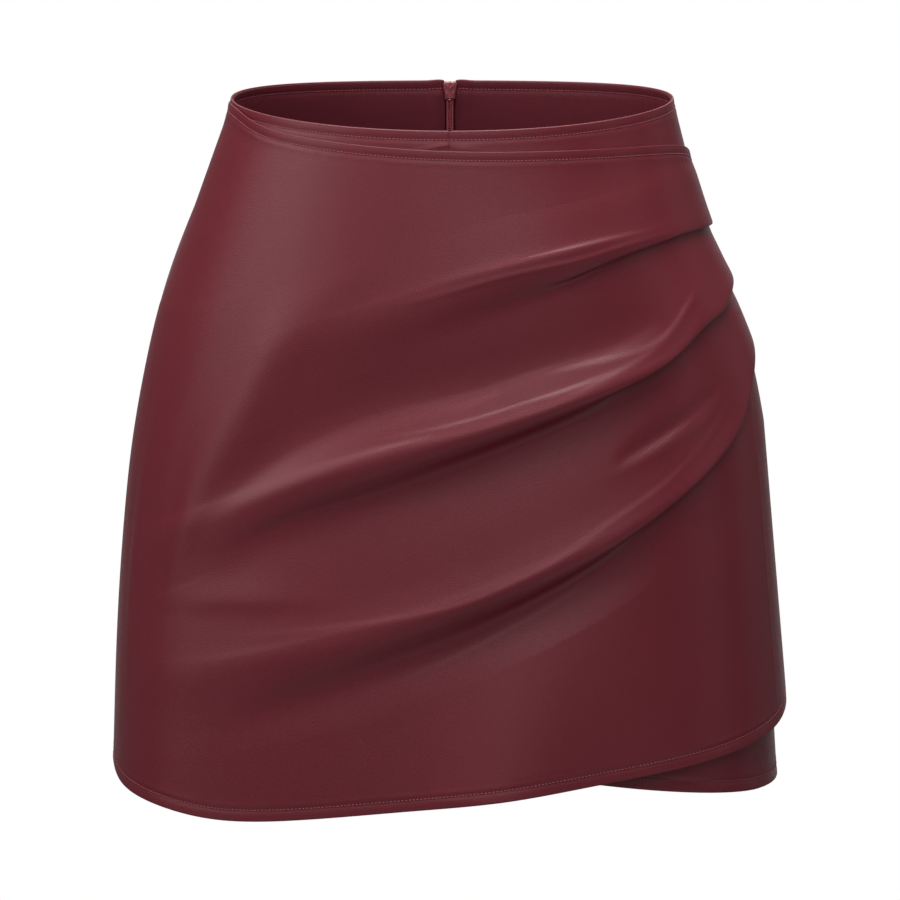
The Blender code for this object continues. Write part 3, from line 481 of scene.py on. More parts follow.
# Studio: the camera's aim and distance, and what a pixel of the picture covers
LOOK_AT = (0, 0, -197)
CAMERA_ELEVATION = 7.5
CAMERA_DISTANCE = 4000
MM_PER_PIXEL = 0.556
PICTURE_PIXELS = 900
SENSOR = 36

# Soft boxes: degrees from straight in front, positive to the wearer's left, and degrees up; then
# their distance, width and height in metres, and their power in watts
LIGHTS = table("name azimuth elevation distance width height power", (
    ("over", 0, 86, 2.2, 1.6, 1.6, 43),
    ("high_front", 0, 34, 2.6, 1.4, 0.8, 5.8),
    ("left", -75, 35, 2.2, 1.4, 1.0, 7),
    ("high_left", -60, 60, 2.2, 1.4, 1.0, 5),
    ("low_left", -48, 20, 2.2, 1.2, 1.2, 4.1),
    ("side_left", -72, 8, 2.2, 0.8, 1.2, 1.7),
    ("high_right", 60, 55, 2.2, 1.2, 1.0, 4.8),
    ("upper_right", 22, 26, 2.4, 1.0, 1.0, 1.1),
    ("front", -4, 7, 3.0, 1.6, 1.6, 2.6),
    ("front_right", 20, 6, 2.6, 0.9, 0.9, 0.6),
    ("right", 72, 12, 2.2, 0.6, 1.6, 1),
    ("below_front", 0, -38, 2.2, 1.6, 1.0, 1.1),
    ("below_left", -50, -30, 2.2, 1.2, 1.2, 1.2),
    ("below_right", 50, -30, 2.2, 1.2, 1.2, 1.6),
    ("right_rim", 112, 12, 2.2, 0.4, 1.6, 0.5),
    ("right_back", 163, 8, 2.2, 0.8, 1.8, 1.3),
    ("left_back", -163, 8, 2.2, 0.8, 1.8, 1.2),
    ("back", 180, 50, 2.2, 2.0, 1.6, 20),
))
ROOM_LIGHT = 0.1

# Floor, with the parts of its radius where it starts and ends fading out
FLOOR_DROP = 1400
FLOOR_RADIUS = 560
FLOOR_FADE = (0.55, 0.98)
FLOOR_COLOUR = (0.8, 0.8, 0.8)
FLOOR_SIDES = 64


# ---------------------------------------------------------------- curves and forms

def smooth(xs, ys):
    """The natural cubic spline through the points (xs, ys), as a function of an array."""
    xs, ys = np.array(xs, float), np.array(ys, float)
    gap = np.diff(xs)
    slope = np.diff(ys) / gap
    system, right = np.eye(len(xs)), np.zeros(len(xs))
    for i in range(1, len(xs) - 1):
        system[i, i - 1:i + 2] = gap[i - 1], 2 * (gap[i - 1] + gap[i]), gap[i]
        right[i] = 6 * (slope[i] - slope[i - 1])
    bend = np.linalg.solve(system, right)

    def at(x):
        x = np.clip(x, xs[0], xs[-1])
        i = np.clip(np.searchsorted(xs, x) - 1, 0, len(xs) - 2)
        a = (xs[i + 1] - x) / gap[i]
        b = 1 - a
        curve = (a**3 - a) * bend[i] + (b**3 - b) * bend[i + 1]
        return a * ys[i] + b * ys[i + 1] + curve * gap[i] ** 2 / 6

    return at


def ease(x):
    """0 below 0 and 1 above 1, with a smooth step between."""
    x = np.clip(x, 0, 1)
    return x * x * (3 - 2 * x)


def bump(x):
    """1 at 0, falling smoothly to nothing a few units away on both sides."""
    return np.exp(-np.square(x))


def run_length(line):
    """Distance of each point of a line from its start, along it."""
    return np.concatenate([[0], np.cumsum(np.linalg.norm(np.diff(line, axis=0), axis=1))])


def along_line(places, length, values):
    """Values that belong to the points of a line, at those distances along it."""
    return np.stack([np.interp(places, length, values[:, i]) for i in range(3)], axis=-1)


FORM_AT = {name: smooth(FORM["drop"], FORM[name]) for name in FORM if name != "drop"}
DRAPE_TOP_AT = smooth(DRAPE_TOP["bearing"], DRAPE_TOP["drop"])
DRAPE_HEM_AT = smooth(DRAPE_HEM["bearing"], DRAPE_HEM["drop"])
HANG_AT = smooth(HANG["drop"], HANG["out"])
GIVE_AT = smooth(GIVE["drop"], GIVE["back"])
HANG_SHARE_AT = smooth(HANG_SHARE["bearing"], HANG_SHARE["share"])


def waist_drop(bearing):
    """Drop of the waist edge: lowest at the centre front and highest at the centre back."""
    c = np.cos(np.radians(bearing))
    front, back, side = WAIST_DROP["front"], WAIST_DROP["back"], WAIST_DROP["side"]
    return side + (front - back) / 2 * c + ((front + back) / 2 - side) * c * c


def oval(bearing, wide, deep, square):
    """Offsets across and forward on an oval that is a little squarer than an ellipse."""
    s, c = np.sin(np.radians(bearing)), np.cos(np.radians(bearing))
    return wide * s * (1 + square * c * c), deep * c * (1 + square * s * s)


def form_reach(bearing, drop):
    """How far the form reaches sideways and forward or back, near that bearing."""
    at = {name: curve(drop) for name, curve in FORM_AT.items()}
    s, c = np.sin(np.radians(bearing)), np.cos(np.radians(bearing))
    wide = (at["left"] + at["right"]) / 2 + (at["left"] - at["right"]) / 2 * s
    deep = (at["front"] + at["back"]) / 2 + (at["front"] - at["back"]) / 2 * c
    return wide, deep, at["square"]


def form_point(bearing, drop):
    """A point on the outer face of the form, as an array of x, y, z."""
    bearing, drop = np.broadcast_arrays(np.asarray(bearing, float), np.asarray(drop, float))
    x, forward = oval(bearing, *form_reach(bearing, drop))
    return np.stack([x, -forward, -drop], axis=-1)


def unit(vectors):
    return vectors / np.maximum(np.linalg.norm(vectors, axis=-1, keepdims=True), 1e-12)


def form_normal(bearing, drop):
    """The form's outward normal, from points a little to each side."""
    step = 0.5
    across = form_point(bearing + step, drop) - form_point(bearing - step, drop)
    down = form_point(bearing, drop + step) - form_point(bearing, drop - step)
    return unit(np.cross(down, across))


def cloth_point(bearing, drop, stand):
    """A point that stands off the form by that much."""
    return form_point(bearing, drop) + form_normal(bearing, drop) * np.asarray(stand)[..., None]


def normals(points, outward):
    """Unit normals of a grid of points, turned so that they point the way outward does."""
    n = unit(np.cross(np.gradient(points, axis=1), np.gradient(points, axis=0)))
    return n if (n * outward).sum() > 0 else -n


# ---------------------------------------------------------------- meshes

def add_object(name, vertices, faces, material, body="garment", smooth_shading=True):
    """One piece, from vertices in millimetres, riding on a body."""
    mesh = bpy.data.meshes.new(name)
    mesh.from_pydata((np.asarray(vertices, float) * MM).tolist(), [], faces)
    mesh.materials.append(material)
    mesh.polygons.foreach_set("use_smooth", [smooth_shading] * len(mesh.polygons))
    mesh.update()
    made = bpy.data.objects.new(name, mesh)
    bpy.context.scene.collection.objects.link(made)
    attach(made, body)
    return made


def rim_of(grid):
    """The points round the edge of a grid, in order."""
    return np.concatenate([grid[0, :], grid[1:, -1], grid[-1, -2::-1], grid[-2:0:-1, 0]])


def shell_data(outer, inner, turns=(0.25, 0.5, 0.75)):
    """Vertices and faces of a closed wall between two grids, with a rounded edge."""
    rows, columns = outer.shape[:2]
    count = rows * columns
    at = np.arange(count).reshape(rows, columns)
    quads = np.stack([at[:-1, :-1], at[1:, :-1], at[1:, 1:], at[:-1, 1:]], axis=-1).reshape(-1, 4)
    faces = np.concatenate([quads, quads[:, ::-1] + count])
    # Away from the cloth, along its surface
    away = np.zeros_like(outer)
    away[0] += unit(outer[0] - outer[1])
    away[-1] += unit(outer[-1] - outer[-2])
    away[:, 0] += unit(outer[:, 0] - outer[:, 1])
    away[:, -1] += unit(outer[:, -1] - outer[:, -2])
    away = unit(rim_of(away))
    first, last = rim_of(outer), rim_of(inner)
    middle, half = (first + last) / 2, (first - last) / 2
    radius = np.linalg.norm(half, axis=-1, keepdims=True)
    rounds = [
        middle + half * math.cos(turn * math.pi) + away * radius * math.sin(turn * math.pi)
        for turn in turns
    ]
    length = len(first)
    rings = [rim_of(at)]
    rings += [2 * count + i * length + np.arange(length) for i in range(len(turns))]
    rings.append(rings[0] + count)
    for upper, lower in zip(rings, rings[1:]):
        strip = np.stack([upper, np.roll(upper, -1), np.roll(lower, -1), lower], axis=-1)
        faces = np.concatenate([faces, strip])
    vertices = np.concatenate([outer.reshape(-1, 3), inner.reshape(-1, 3), *rounds])
    return vertices, faces.tolist()


def add_shell(name, outer, inner, outward, looks):
    """A shell of cloth, with its outer and its inner material.

    Its faces point out whichever way its grid runs.
    """
    vertices, faces = shell_data(outer, inner)
    n = np.cross(np.gradient(outer, axis=1), np.gradient(outer, axis=0))
    if (n * outward).sum() < 0:
        faces = [face[::-1] for face in faces]
    shell = add_object(name, vertices, faces, looks[0])
    shell.data.materials.append(looks[1])
    sheet = (outer.shape[0] - 1) * (outer.shape[1] - 1)
    inside = np.zeros(len(faces), dtype=int)
    inside[sheet:2 * sheet] = 1
    shell.data.polygons.foreach_set("material_index", inside)
    return shell


def tubes(paths, up, radius, sides):
    """Vertices and faces of closed tubes.

    paths holds a line of points for each tube, up the directions their sections stand in, and
    radius their size at each point.
    """
    ahead = unit(np.gradient(paths, axis=1))
    across = unit(np.cross(ahead, up))
    up = np.cross(across, ahead)
    angle = np.arange(sides) * 2 * math.pi / sides
    radius = np.broadcast_to(radius, paths.shape[:2])[..., None, None]
    ring = across[:, :, None] * np.cos(angle)[:, None] + up[:, :, None] * np.sin(angle)[:, None]
    vertices = (paths[:, :, None] + ring * radius).reshape(-1, 3)
    at = np.arange(len(vertices)).reshape(*paths.shape[:2], sides)
    turned = np.roll(at, -1, axis=2)
    walls = np.stack([at[:, :-1], at[:, 1:], turned[:, 1:], turned[:, :-1]], axis=-1)
    faces = walls.reshape(-1, 4).tolist()
    faces += at[:, 0].tolist() + at[:, -1, ::-1].tolist()
    return vertices, faces


def join(parts):
    """Vertices and faces of several meshes as one."""
    vertices, faces, count = [], [], 0
    for points, polygons in parts:
        vertices.append(points)
        faces += [[i + count for i in polygon] for polygon in polygons]
        count += len(points)
    return np.concatenate(vertices), faces


def plate(outline, low, high, edge, steps=4):
    """A flat plate with rounded edges, as vertices (first, second, level) and faces.

    outline runs counter-clockwise; low and high are the plate's faces and edge its rounding.
    """
    outline = np.asarray(outline, float)
    ahead = unit(np.roll(outline, -1, axis=0) - np.roll(outline, 1, axis=0))
    inward = np.stack([-ahead[:, 1], ahead[:, 0]], axis=-1)
    turns = np.radians(np.linspace(0, 90, steps + 1))
    rings = []
    for base, way, order in ((low, 1, turns), (high, -1, turns[::-1])):
        for turn in order:
            level = base + way * edge * (1 - math.cos(turn))
            ring = outline + inward * edge * (1 - math.sin(turn))
            rings.append(np.insert(ring, 2, level, axis=1))
    return rings_between(rings)


def rings_between(rings):
    """Joins a stack of rings into a closed solid."""
    count = len(rings[0])
    at = np.arange(len(rings) * count).reshape(len(rings), count)
    turned = np.roll(at, -1, axis=1)
    walls = np.stack([at[:-1], turned[:-1], turned[1:], at[1:]], axis=-1).reshape(-1, 4).tolist()
    return np.concatenate(rings), walls + [at[0, ::-1].tolist(), at[-1].tolist()]


def spread(first, last, count, steps):
    """Places from first to last: at those steps from both ends, and even between."""
    start, end = first + np.array(steps), last - np.array(steps)[::-1]
    middle = np.linspace(start[-1], end[0], count + 2)[1:-1]
    return np.concatenate([start, middle, end])


def turned_in(distance, stitch, what):
    """1 where the edge's cloth is turned in, and 0 further from the edge."""
    past, fade = TURNED_END[what]
    return 1 - ease((distance - stitch - past) / fade)


def edge_relief(distance, stitch):
    """Relief of a turned and stitched edge, by the distance from the edge."""
    raised = TURNED_RELIEF * turned_in(distance, stitch, "relief")
    return raised - STITCH_SINK * bump((distance - stitch) / STITCH_SINK_WIDTH)


def uneven_waves(place, fast, drift, bend, slow, share, start):
    """A fast wave whose spacing drifts, on a slow one, by the place along an edge."""
    return np.sin(place * fast + bend * np.sin(place * drift)) + share * np.sin(place * slow + start)


def pucker(place, distance, stitch):
    """Small uneven swellings next to a row of stitches, by the place along it in millimetres."""
    rate, start, least = PUCKER_PATCH.values()
    patchy = least + (1 - least) * np.square(np.sin(place * rate + start))
    swelling = PUCKER * uneven_waves(place, **PUCKER_WAVES) * patchy
    return swelling * bump((distance - stitch - PUCKER_IN) / PUCKER_IN)


def edge_wall(distance, stitch, wall):
    """Thickness of the cloth near a turned edge."""
    return wall + TURNED_WALL * turned_in(distance, stitch, "wall")


def seam_relief(distance):
    """The fine groove where two panels are sewn together."""
    return -SEAM_SINK * bump(distance / SEAM_SINK_WIDTH)


def sewn_relief(bearing, near, edges, seams):
    """Relief of a panel's stitched edges and of its seams.

    edges holds each edge's name in near, its stitches' distance from it and its swellings' name.
    """
    relief = 0 * bearing
    for edge, stitch, name in edges:
        place = bearing * MM_PER_DEGREE + PUCKER_START[name]
        relief = relief + edge_relief(near[edge], stitch) + pucker(place, near[edge], stitch)
    return relief + sum(seam_relief(near[seam]) for seam in seams)


def crease(along, rows, bearing, drop):
    """Relief of one crease at those places."""
    course = table(CREASE_COLUMNS, rows)
    run, cross, other = (bearing, drop, "drop") if along == "bearing" else (drop, bearing, "bearing")
    unit_mm = {"bearing": MM_PER_DEGREE, "drop": 1.0}
    at = {name: smooth(course[along], course[name]) for name in course if name != along}
    slope = (at[other](run + 0.5) - at[other](run - 0.5)) * unit_mm[other] / unit_mm[along]
    away = (cross - at[other](run)) * unit_mm[other] / np.sqrt(1 + slope * slope)
    width = np.where(away < 0, at["upper"](run), at["lower"](run))
    return at["height"](run) * bump(away / np.maximum(width, CREASE_LEAST_WIDTH))


def line_in_grid(grid, distance, wanted):
    """For each column, the grid's values where the distance from its edge first is as wanted."""
    found = []
    for j in range(grid.shape[1]):
        column = distance[:, j]
        after = int(np.argmax(column >= wanted))
        before = max(after - 1, 0)
        share = (wanted - column[before]) / max(column[after] - column[before], 1e-9)
        found.append(grid[before, j] * (1 - share) + grid[after, j] * share)
    return np.array(found)


# ---------------------------------------------------------------- shorts

def notch_half_width(drop, at_top, below):
    """Half the gap between two edges that meet at the centre back and spread at the waist."""
    depth = drop - WAIST_DROP["back"]
    return below + (at_top - below) * (1 - ease(depth / NOTCH_DEPTH))


def fork_share(across, drop):
    """0 where the shorts are still one tube, 1 where each side is a leg."""
    q = np.clip((drop - FORK_DROP) / (CROTCH_DROP - FORK_DROP), 0, 1)
    seam = 1 - np.sqrt(1 - q * q)
    late = ease((drop - FORK_DROP) / (LEG_FORMED_DROP - FORK_DROP))
    share = ease(across / CROTCH_BLEND)
    return seam * (1 - share) + late * share


def leg_bearing(side, face, across):
    """Degrees round one leg, from its inseam through the front or the back to the side seam."""
    start = -90 * SIDE_SIGN[side] if face == "front" else 270 * SIDE_SIGN[side]
    return start + across * (SIDE_SEAM[side] - start)


def leg_hem_drop(side, face, across):
    """The leg's hem is lowest at the side seam and rises towards the inseam."""
    outer = np.sin(np.radians(leg_bearing(side, face, across) * SIDE_SIGN[side]))
    return LEG_HEM_DROP[side] - LEG_HEM_RISE[side] * (1 - outer)


def body_bearing(side, face, across):
    centre = 0 if face == "front" else 180 * SIDE_SIGN[side]
    return centre + across * (SIDE_SEAM[side] - centre)


def shorts_point(side, face, across, drop):
    """A point on one quarter of the shorts. across is 0 at its centre edge, 1 at its side seam."""
    sign = SIDE_SIGN[side]
    body = form_point(body_bearing(side, face, across), drop)
    turn = leg_bearing(side, face, across)
    reach = FORM_AT[side](drop)
    opened = ease((drop - CROTCH_DROP) / (LEG_HEM_DROP[side] - CROTCH_DROP))
    inseam = SEAM_HALF_GAP + (INSEAM_AT_HEM - SEAM_HALF_GAP) * opened
    _, deep, square = form_reach(turn, drop)
    x, forward = oval(turn, (reach - inseam) / 2, deep * LEG_DEPTH_SHARE[face], square / 2)
    leg = np.stack([x + sign * (reach + inseam) / 2, -forward, -drop], axis=-1)
    share = fork_share(across, drop)[..., None]
    # The side seam keeps the form's own depth, so that the draped panel can meet it there.
    share = share * (1 - ease((across - SIDE_HOLD) / (1 - SIDE_HOLD))[..., None])
    return body * (1 - share) + leg * share


def shorts_grid(side, face):
    """One quarter's outer face, with each point's distances from its edges.

    Columns run from the centre edge to the side seam, and rows from the waist to the hem.
    """
    across = spread(0, QUARTER_WIDTH, SHORTS_COLUMNS, SEAM_STEPS)[None, :] / QUARTER_WIDTH
    top = waist_drop(body_bearing(side, face, across))
    hem = leg_hem_drop(side, face, across)
    steps = np.array(EDGE_STEPS)[:, None]
    body = np.linspace(0, 1, SHORTS_ROWS["body"], endpoint=False)[:, None]
    turn = np.linspace(0, math.pi / 2, SHORTS_ROWS["fork"], endpoint=False)[:, None]
    leg = np.linspace(0, 1, SHORTS_ROWS["leg"], endpoint=False)[:, None]
    start, end = top + steps[-1], hem - steps[-1]
    drop = np.concatenate([
        top + steps[:-1],
        start + (FORK_DROP - start) * body,
        FORK_DROP + (CROTCH_DROP - FORK_DROP) * np.sin(turn) + 0 * top,
        CROTCH_DROP + (end - CROTCH_DROP) * leg,
        hem - steps[::-1],
    ])
    rough = shorts_point(side, face, across + 0 * drop, drop)
    length = np.linalg.norm(np.diff(rough, axis=1), axis=-1).sum(axis=1)[:, None]
    start = SEAM_HALF_GAP
    if face == "back":
        start = notch_half_width(drop[:, :1], NOTCH_SPREAD, SEAM_HALF_GAP)
    inset = (start + (length - start - SEAM_HALF_GAP) * across) / length
    points = shorts_point(side, face, inset, drop)
    distances = {
        "waist": drop - top, "hem": hem - drop,
        "centre": (inset - inset[:, :1]) * length, "side": (inset[:, -1:] - inset) * length,
    }
    return points, body_bearing(side, face, inset), drop, distances


def keep_to_side(points, side):
    """Keeps a quarter's cloth on its own side of the centre seam."""
    sign = SIDE_SIGN[side]
    points[..., 0] = sign * np.maximum(sign * points[..., 0], SEAM_HALF_GAP)
    return points


def add_shorts(side, face, looks):
    """One quarter of the shorts. Returns the grids that the pieces sewn onto it follow."""
    points, bearing, drop, near = shorts_grid(side, face)
    outward = np.array([SIDE_SIGN[side], -1 if face == "front" else 1, 0]) + 0 * points
    n = normals(points, outward)
    edges = (("waist", WAIST_STITCH, "waist"), ("hem", HEM_STITCH, "leg"))
    relief = sewn_relief(bearing, near, edges, ("side", "centre"))
    # What moves both faces of the cloth
    shift = 0 * relief
    if face == "front":
        shift -= np.maximum(GIVE_AT(drop), 0) * ease((near["side"] - GIVE_FROM_SIDE) / GIVE_FADE)
    for along, rows in SHORTS_CREASES[side, face]:
        shift += crease(along, rows, bearing, drop)
    if face == "back":
        points = curl_corner(points, near["waist"])
    outer = keep_to_side(points + n * (relief + shift)[..., None], side)
    wall = edge_wall(near["hem"], HEM_STITCH, WALL)
    inner = keep_to_side(points + n * (shift - wall)[..., None], side)
    name = f"shorts_{face}_{side}"
    shell = add_shell(f"cloth_{name}", outer, inner, outward, looks)
    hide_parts(name)
    return {"outer": outer, "base": points, "normal": n, "near": near}


def curl_corner(points, distance):
    """Raises the waist edge a little next to the zip."""
    near_zip = bump((np.abs(points[..., 0]) - CORNER["across"]) / CORNER["wide"])
    raised = CORNER["rise"] * near_zip * (1 - ease(distance / CORNER["deep"])) * (points[..., 1] > 0)
    return points + raised[..., None] * np.array([0, 0, 1])


# ---------------------------------------------------------------- draped panel

def pleat_at(pleat, bearing):
    """Where a pleat's edge lies at those bearings, and its depth, "over" and "late" there."""
    found = {
        name: smooth(pleat["bearing"], pleat[name])(bearing) for name in pleat if name != "bearing"
    }
    found["depth"] = np.maximum(found["depth"], 0)
    found["over"] = np.clip(found["over"], 0, 1)
    found["late"] = np.clip(found["late"], 0, 1)
    return found


def drape_course(bearing):
    """The cloth's course from the upper edge to the hem: rows of (drop, out) for each bearing."""
    top, hem = DRAPE_TOP_AT(bearing), DRAPE_HEM_AT(bearing)
    pleats = [pleat_at(pleat, bearing) for pleat in PLEATS]
    edges = [top - TOP_MARGIN, *(p["drop"] for p in pleats), hem + HEM_MARGIN]
    zero = np.zeros_like(bearing)
    first = pleats[0]["drop"] + PLEAT_COURSE["soft_down"][0] * ABOVE_REACH
    rows = [(top, zero)]
    for share in TOP_SHARES:
        rows.append((top + share * (first - top), zero))
    for n, pleat in enumerate(pleats, start=1):
        above = np.minimum(edges[n] - edges[n - 1], ABOVE_REACH)
        below = np.minimum(edges[n + 1] - edges[n], BELOW_REACH)
        scale = {"above": above, "below": below}
        scale["edge"] = np.minimum(above, np.minimum(below, ABOVE_REACH)) / ABOVE_REACH
        scale["fold"] = np.minimum(PLEAT_OVERLAP, OVERLAP_SHARE * np.minimum(above, below))
        soft = np.clip(1 - 2 * pleat["over"], 0, 1)
        pressed = np.clip(2 * pleat["over"] - 1, 0, 1)
        lip = 1 - soft - pressed
        for kind, *course, late in zip(*PLEAT_COURSE.values()):
            down = soft * course[0] + lip * course[2] + pressed * course[4]
            out = soft * course[1] + lip * course[3] + pressed * course[5]
            out = out * (1 - late * pleat["late"])
            rows.append((pleat["drop"] + down * scale[kind], pleat["depth"] * out))
    last = rows[-1][0]
    for share in HEM_SHARES:
        rows.append((last + (hem - last) * share, zero))
    return np.array([r[0] for r in rows]), np.array([r[1] for r in rows])


def spline_weights(controls, places):
    """Weights of a uniform cubic B-spline that starts and ends on its first and last controls.

    places run from 0 at the first control to 1 at the last.
    """
    spans = controls - 1
    k = np.minimum((places * spans).astype(int), spans - 1)
    t = places * spans - k
    weights = np.zeros((len(places), controls + 2))
    line = np.arange(len(places))
    for offset, share in enumerate((
        (1 - t) ** 3 / 6,
        (3 * t**3 - 6 * t**2 + 4) / 6,
        (-3 * t**3 + 3 * t**2 + 3 * t + 1) / 6,
        t**3 / 6,
    )):
        weights[line, k + offset] = share
    # The phantom control before the first is 2 * first - second, and likewise at the end.
    weights[:, 1] += 2 * weights[:, 0]
    weights[:, 2] -= weights[:, 0]
    weights[:, -2] += 2 * weights[:, -1]
    weights[:, -3] -= weights[:, -1]
    return weights[:, 1:-1]


def drape_rows(fine, drops, outs):
    """For each column, the places along the course where its rows lie."""
    spans = len(TOP_SHARES) + len(HEM_SHARES) + 3 * len(PLEAT_COURSE["kind"])
    start, end = PLAIN_TOP / spans, 1 - PLAIN_HEM / spans
    inside = (fine >= start) & (fine <= end)
    step = np.hypot(np.diff(drops[inside], axis=0), np.diff(outs[inside], axis=0))
    step = (step.max(axis=1) + MEAN_STEP_SHARE * step.mean(axis=1)) ** ROW_POWER
    load = np.concatenate([[0], np.cumsum(step)])
    folded = np.interp(np.linspace(0, load[-1], DRAPE_ROWS), load, fine[inside])
    steps = np.array(EDGE_STEPS)
    room = steps[-1] + EDGE_ROOM
    upper, lower = fine <= start, fine >= end
    columns = []
    for line in drops.T:
        first, last = np.interp([start, end], fine, line)
        near_top = line[0] + steps[:-1] * min(1, (first - line[0]) / room)
        near_hem = line[-1] - steps[::-1][1:] * min(1, (line[-1] - last) / room)
        columns.append(np.concatenate([
            np.interp(near_top, line[upper], fine[upper]),
            folded,
            np.interp(near_hem, line[lower], fine[lower]),
        ]))
    return np.array(columns).T


def drape_grid():
    """The draped panel's outer face, with each point's place and its distances from the edges."""
    right, left = (np.radians(SIDE_SEAM[side]) * MEAN_REACH for side in ("right", "left"))
    places = spread(right + SEAM_HALF_GAP, left - SEAM_HALF_GAP, DRAPE_COLUMNS, SEAM_STEPS)
    edge = len(SEAM_STEPS)
    first, last = places[edge], places[-edge - 1]
    fine = np.linspace(first, last, PLACE_SAMPLES)
    load = np.cumsum(np.interp(np.degrees(fine / MEAN_REACH), *COLUMN_DENSITY.values()))
    places[edge:-edge] = np.interp(np.linspace(load[0], load[-1], DRAPE_COLUMNS), load, fine)
    bearing = np.degrees(places / MEAN_REACH)
    controls, outs = drape_course(bearing)
    fine = np.linspace(0, 1, COURSE_SAMPLES)
    weights = spline_weights(len(controls), fine)
    fine_drop, fine_out = weights @ controls, weights @ outs
    rows = drape_rows(fine, fine_drop, fine_out)
    drop, out = np.zeros_like(rows), np.zeros_like(rows)
    for j in range(len(bearing)):
        drop[:, j] = np.interp(rows[:, j], fine, fine_drop[:, j])
        out[:, j] = np.interp(rows[:, j], fine, fine_out[:, j])
    bearing = bearing[None, :] + 0 * drop
    stand = DRAPE_OUT + HANG_AT(drop) * HANG_SHARE_AT(bearing) + out
    near = {
        "top": drop - DRAPE_TOP_AT(bearing), "hem": DRAPE_HEM_AT(bearing) - drop,
        "right": (bearing - SIDE_SEAM["right"]) * math.radians(MEAN_REACH),
        "left": (SIDE_SEAM["left"] - bearing) * math.radians(MEAN_REACH),
    }
    layer = rows * (len(controls) - 1)
    return cloth_point(bearing, drop, stand), bearing, drop, layer, near


def on_layer(layer, wanted):
    """1 on one stretch of the cloth between two pleats' edges, fading to 0 in the folds."""
    if wanted is None:
        return 1.0
    pleat = len(PLEAT_COURSE["kind"])
    next_pleat = len(TOP_SHARES) + 1 + pleat * wanted
    first, last = next_pleat - pleat + LAYER_START, next_pleat + LAYER_END
    return ease((layer - first) / LAYER_FADE) * (1 - ease((layer - last) / LAYER_FADE))


def add_drape(looks):
    """The draped panel. Returns the grids that its stitches follow."""
    points, bearing, drop, layer, near = drape_grid()
    outward = points * np.array([1, 1, 0])
    n = normals(points, outward)
    edges = (("top", WAIST_STITCH, "drape_top"), ("hem", HEM_STITCH, "drape_hem"))
    relief = sewn_relief(bearing, near, edges, ("left", "right"))
    for wanted, along, rows in DRAPE_CREASES:
        relief += crease(along, rows, bearing, drop) * on_layer(layer, wanted)
    outer = points + n * relief[..., None]
    n = normals(outer, outward)
    wall = edge_wall(near["hem"], HEM_STITCH, DRAPE_WALL)
    inner = outer - n * wall[..., None]
    shell = add_shell("cloth_front_drape", outer, inner, outward, looks)
    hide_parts("front_drape")
    return {"outer": outer, "normal": n, "near": near}


# ---------------------------------------------------------------- facing and zip

def strip_behind(panel, distances, start, end, shares):
    """Points behind a panel, and the panel's normals there: a row for each distance from the waist.

    start and end give how far from the centre line each row begins and ends; without an end it
    runs to the side seam. shares are its columns, from 0 to 1.
    """
    points, out = [], []
    for distance, first, last in zip(distances, start, end or [None] * len(distances)):
        line = line_in_grid(panel["base"], panel["near"]["waist"], distance)
        way = line_in_grid(panel["normal"], panel["near"]["waist"], distance)
        length = run_length(line)
        offset = np.abs(line[0, 0])
        to = length[-1] if last is None else last - offset
        places = first - offset + (to - first + offset) * shares
        points.append(at_places(line, length, places))
        out.append(at_places(way, length, places))
    return np.array(points), unit(np.array(out))


def at_places(line, length, places):
    """Points of a line at those distances along it, also a little before its start."""
    step = (line[1] - line[0]) / max(length[1] - length[0], 1e-9)
    return along_line(places, length, line) + np.minimum(places, 0)[:, None] * step


def facing_ripples(points, distance):
    """Fine upright ripples where the facing is drawn up along its stitches."""
    place = np.arctan2(points[..., 0], np.abs(points[..., 1])) * RIPPLE_REACH
    rate, start, least, middle, width = RIPPLE_PATCH.values()
    patchy = least + (1 - least) * bump((np.sin(place * rate + start) - middle) / width)
    ripple = RIPPLE * uneven_waves(place, **RIPPLE_WAVES) * patchy
    return ripple * bump((distance - WAIST_STITCH - RIPPLE_IN) / RIPPLE_WIDTH)


def facing_layers(panel, side, face):
    """Outer and inner grids of the facing behind one quarter."""
    distances = np.array(FACING_STEPS, float)
    shares = spread(0, QUARTER_WIDTH, FACING_COLUMNS, SEAM_STEPS) / QUARTER_WIDTH
    start = np.full(len(distances), SEAM_HALF_GAP)
    if face == "back":
        drop = distances + ZIP_TOP_DROP
        start = notch_half_width(drop, FACING_EDGE + FACING_SPREAD, FACING_EDGE)
    points, out = strip_behind(panel, distances, start, None, shares)
    distance = distances[:, None] + 0 * points[..., 0]
    stand = LAYER_GAP + WALL + 0 * distance
    if face == "back":
        past_tape = (np.abs(points[..., 0]) - TAPE_WIDTH - TAPE_STEP["past"]) / TAPE_STEP["long"]
        stand += (TAPE_WALL + LAYER_GAP) * (1 - ease(past_tape)) * (points[..., 1] > 0)
        points = curl_corner(points, distance)
    outer = points - out * stand[..., None]
    groove = -STITCH_SINK * bump((distance - WAIST_STITCH) / STITCH_SINK_WIDTH)
    groove += facing_ripples(points, distance)
    inner = points - out * (stand + TRIM_WALL + groove)[..., None]
    return outer, inner, out, distance


def add_facing(name, layers, looks):
    """One facing. Returns the grids that its stitches follow."""
    outer, inner, out, distance = layers
    shell = add_shell(name.replace("facing", "cloth_facing"), outer, inner, out, looks)
    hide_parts(name)
    return {"inner": inner, "normal": -out, "near": {"waist": distance}}


def add_facings(panels, looks):
    """The front facing in one piece, and a back one on each side of the zip."""
    right, left = (facing_layers(panels["front", side], side, "front") for side in ("right", "left"))
    front = [np.concatenate([r[:, ::-1], l[:, 1:]], axis=1) for r, l in zip(right, left)]
    made = {"front": add_facing("facing_front", front, looks)}
    for side in SIDE_SEAM:
        layers = facing_layers(panels["back", side], side, "back")
        made[side] = add_facing(f"facing_back_{side}", layers, looks)
    return made


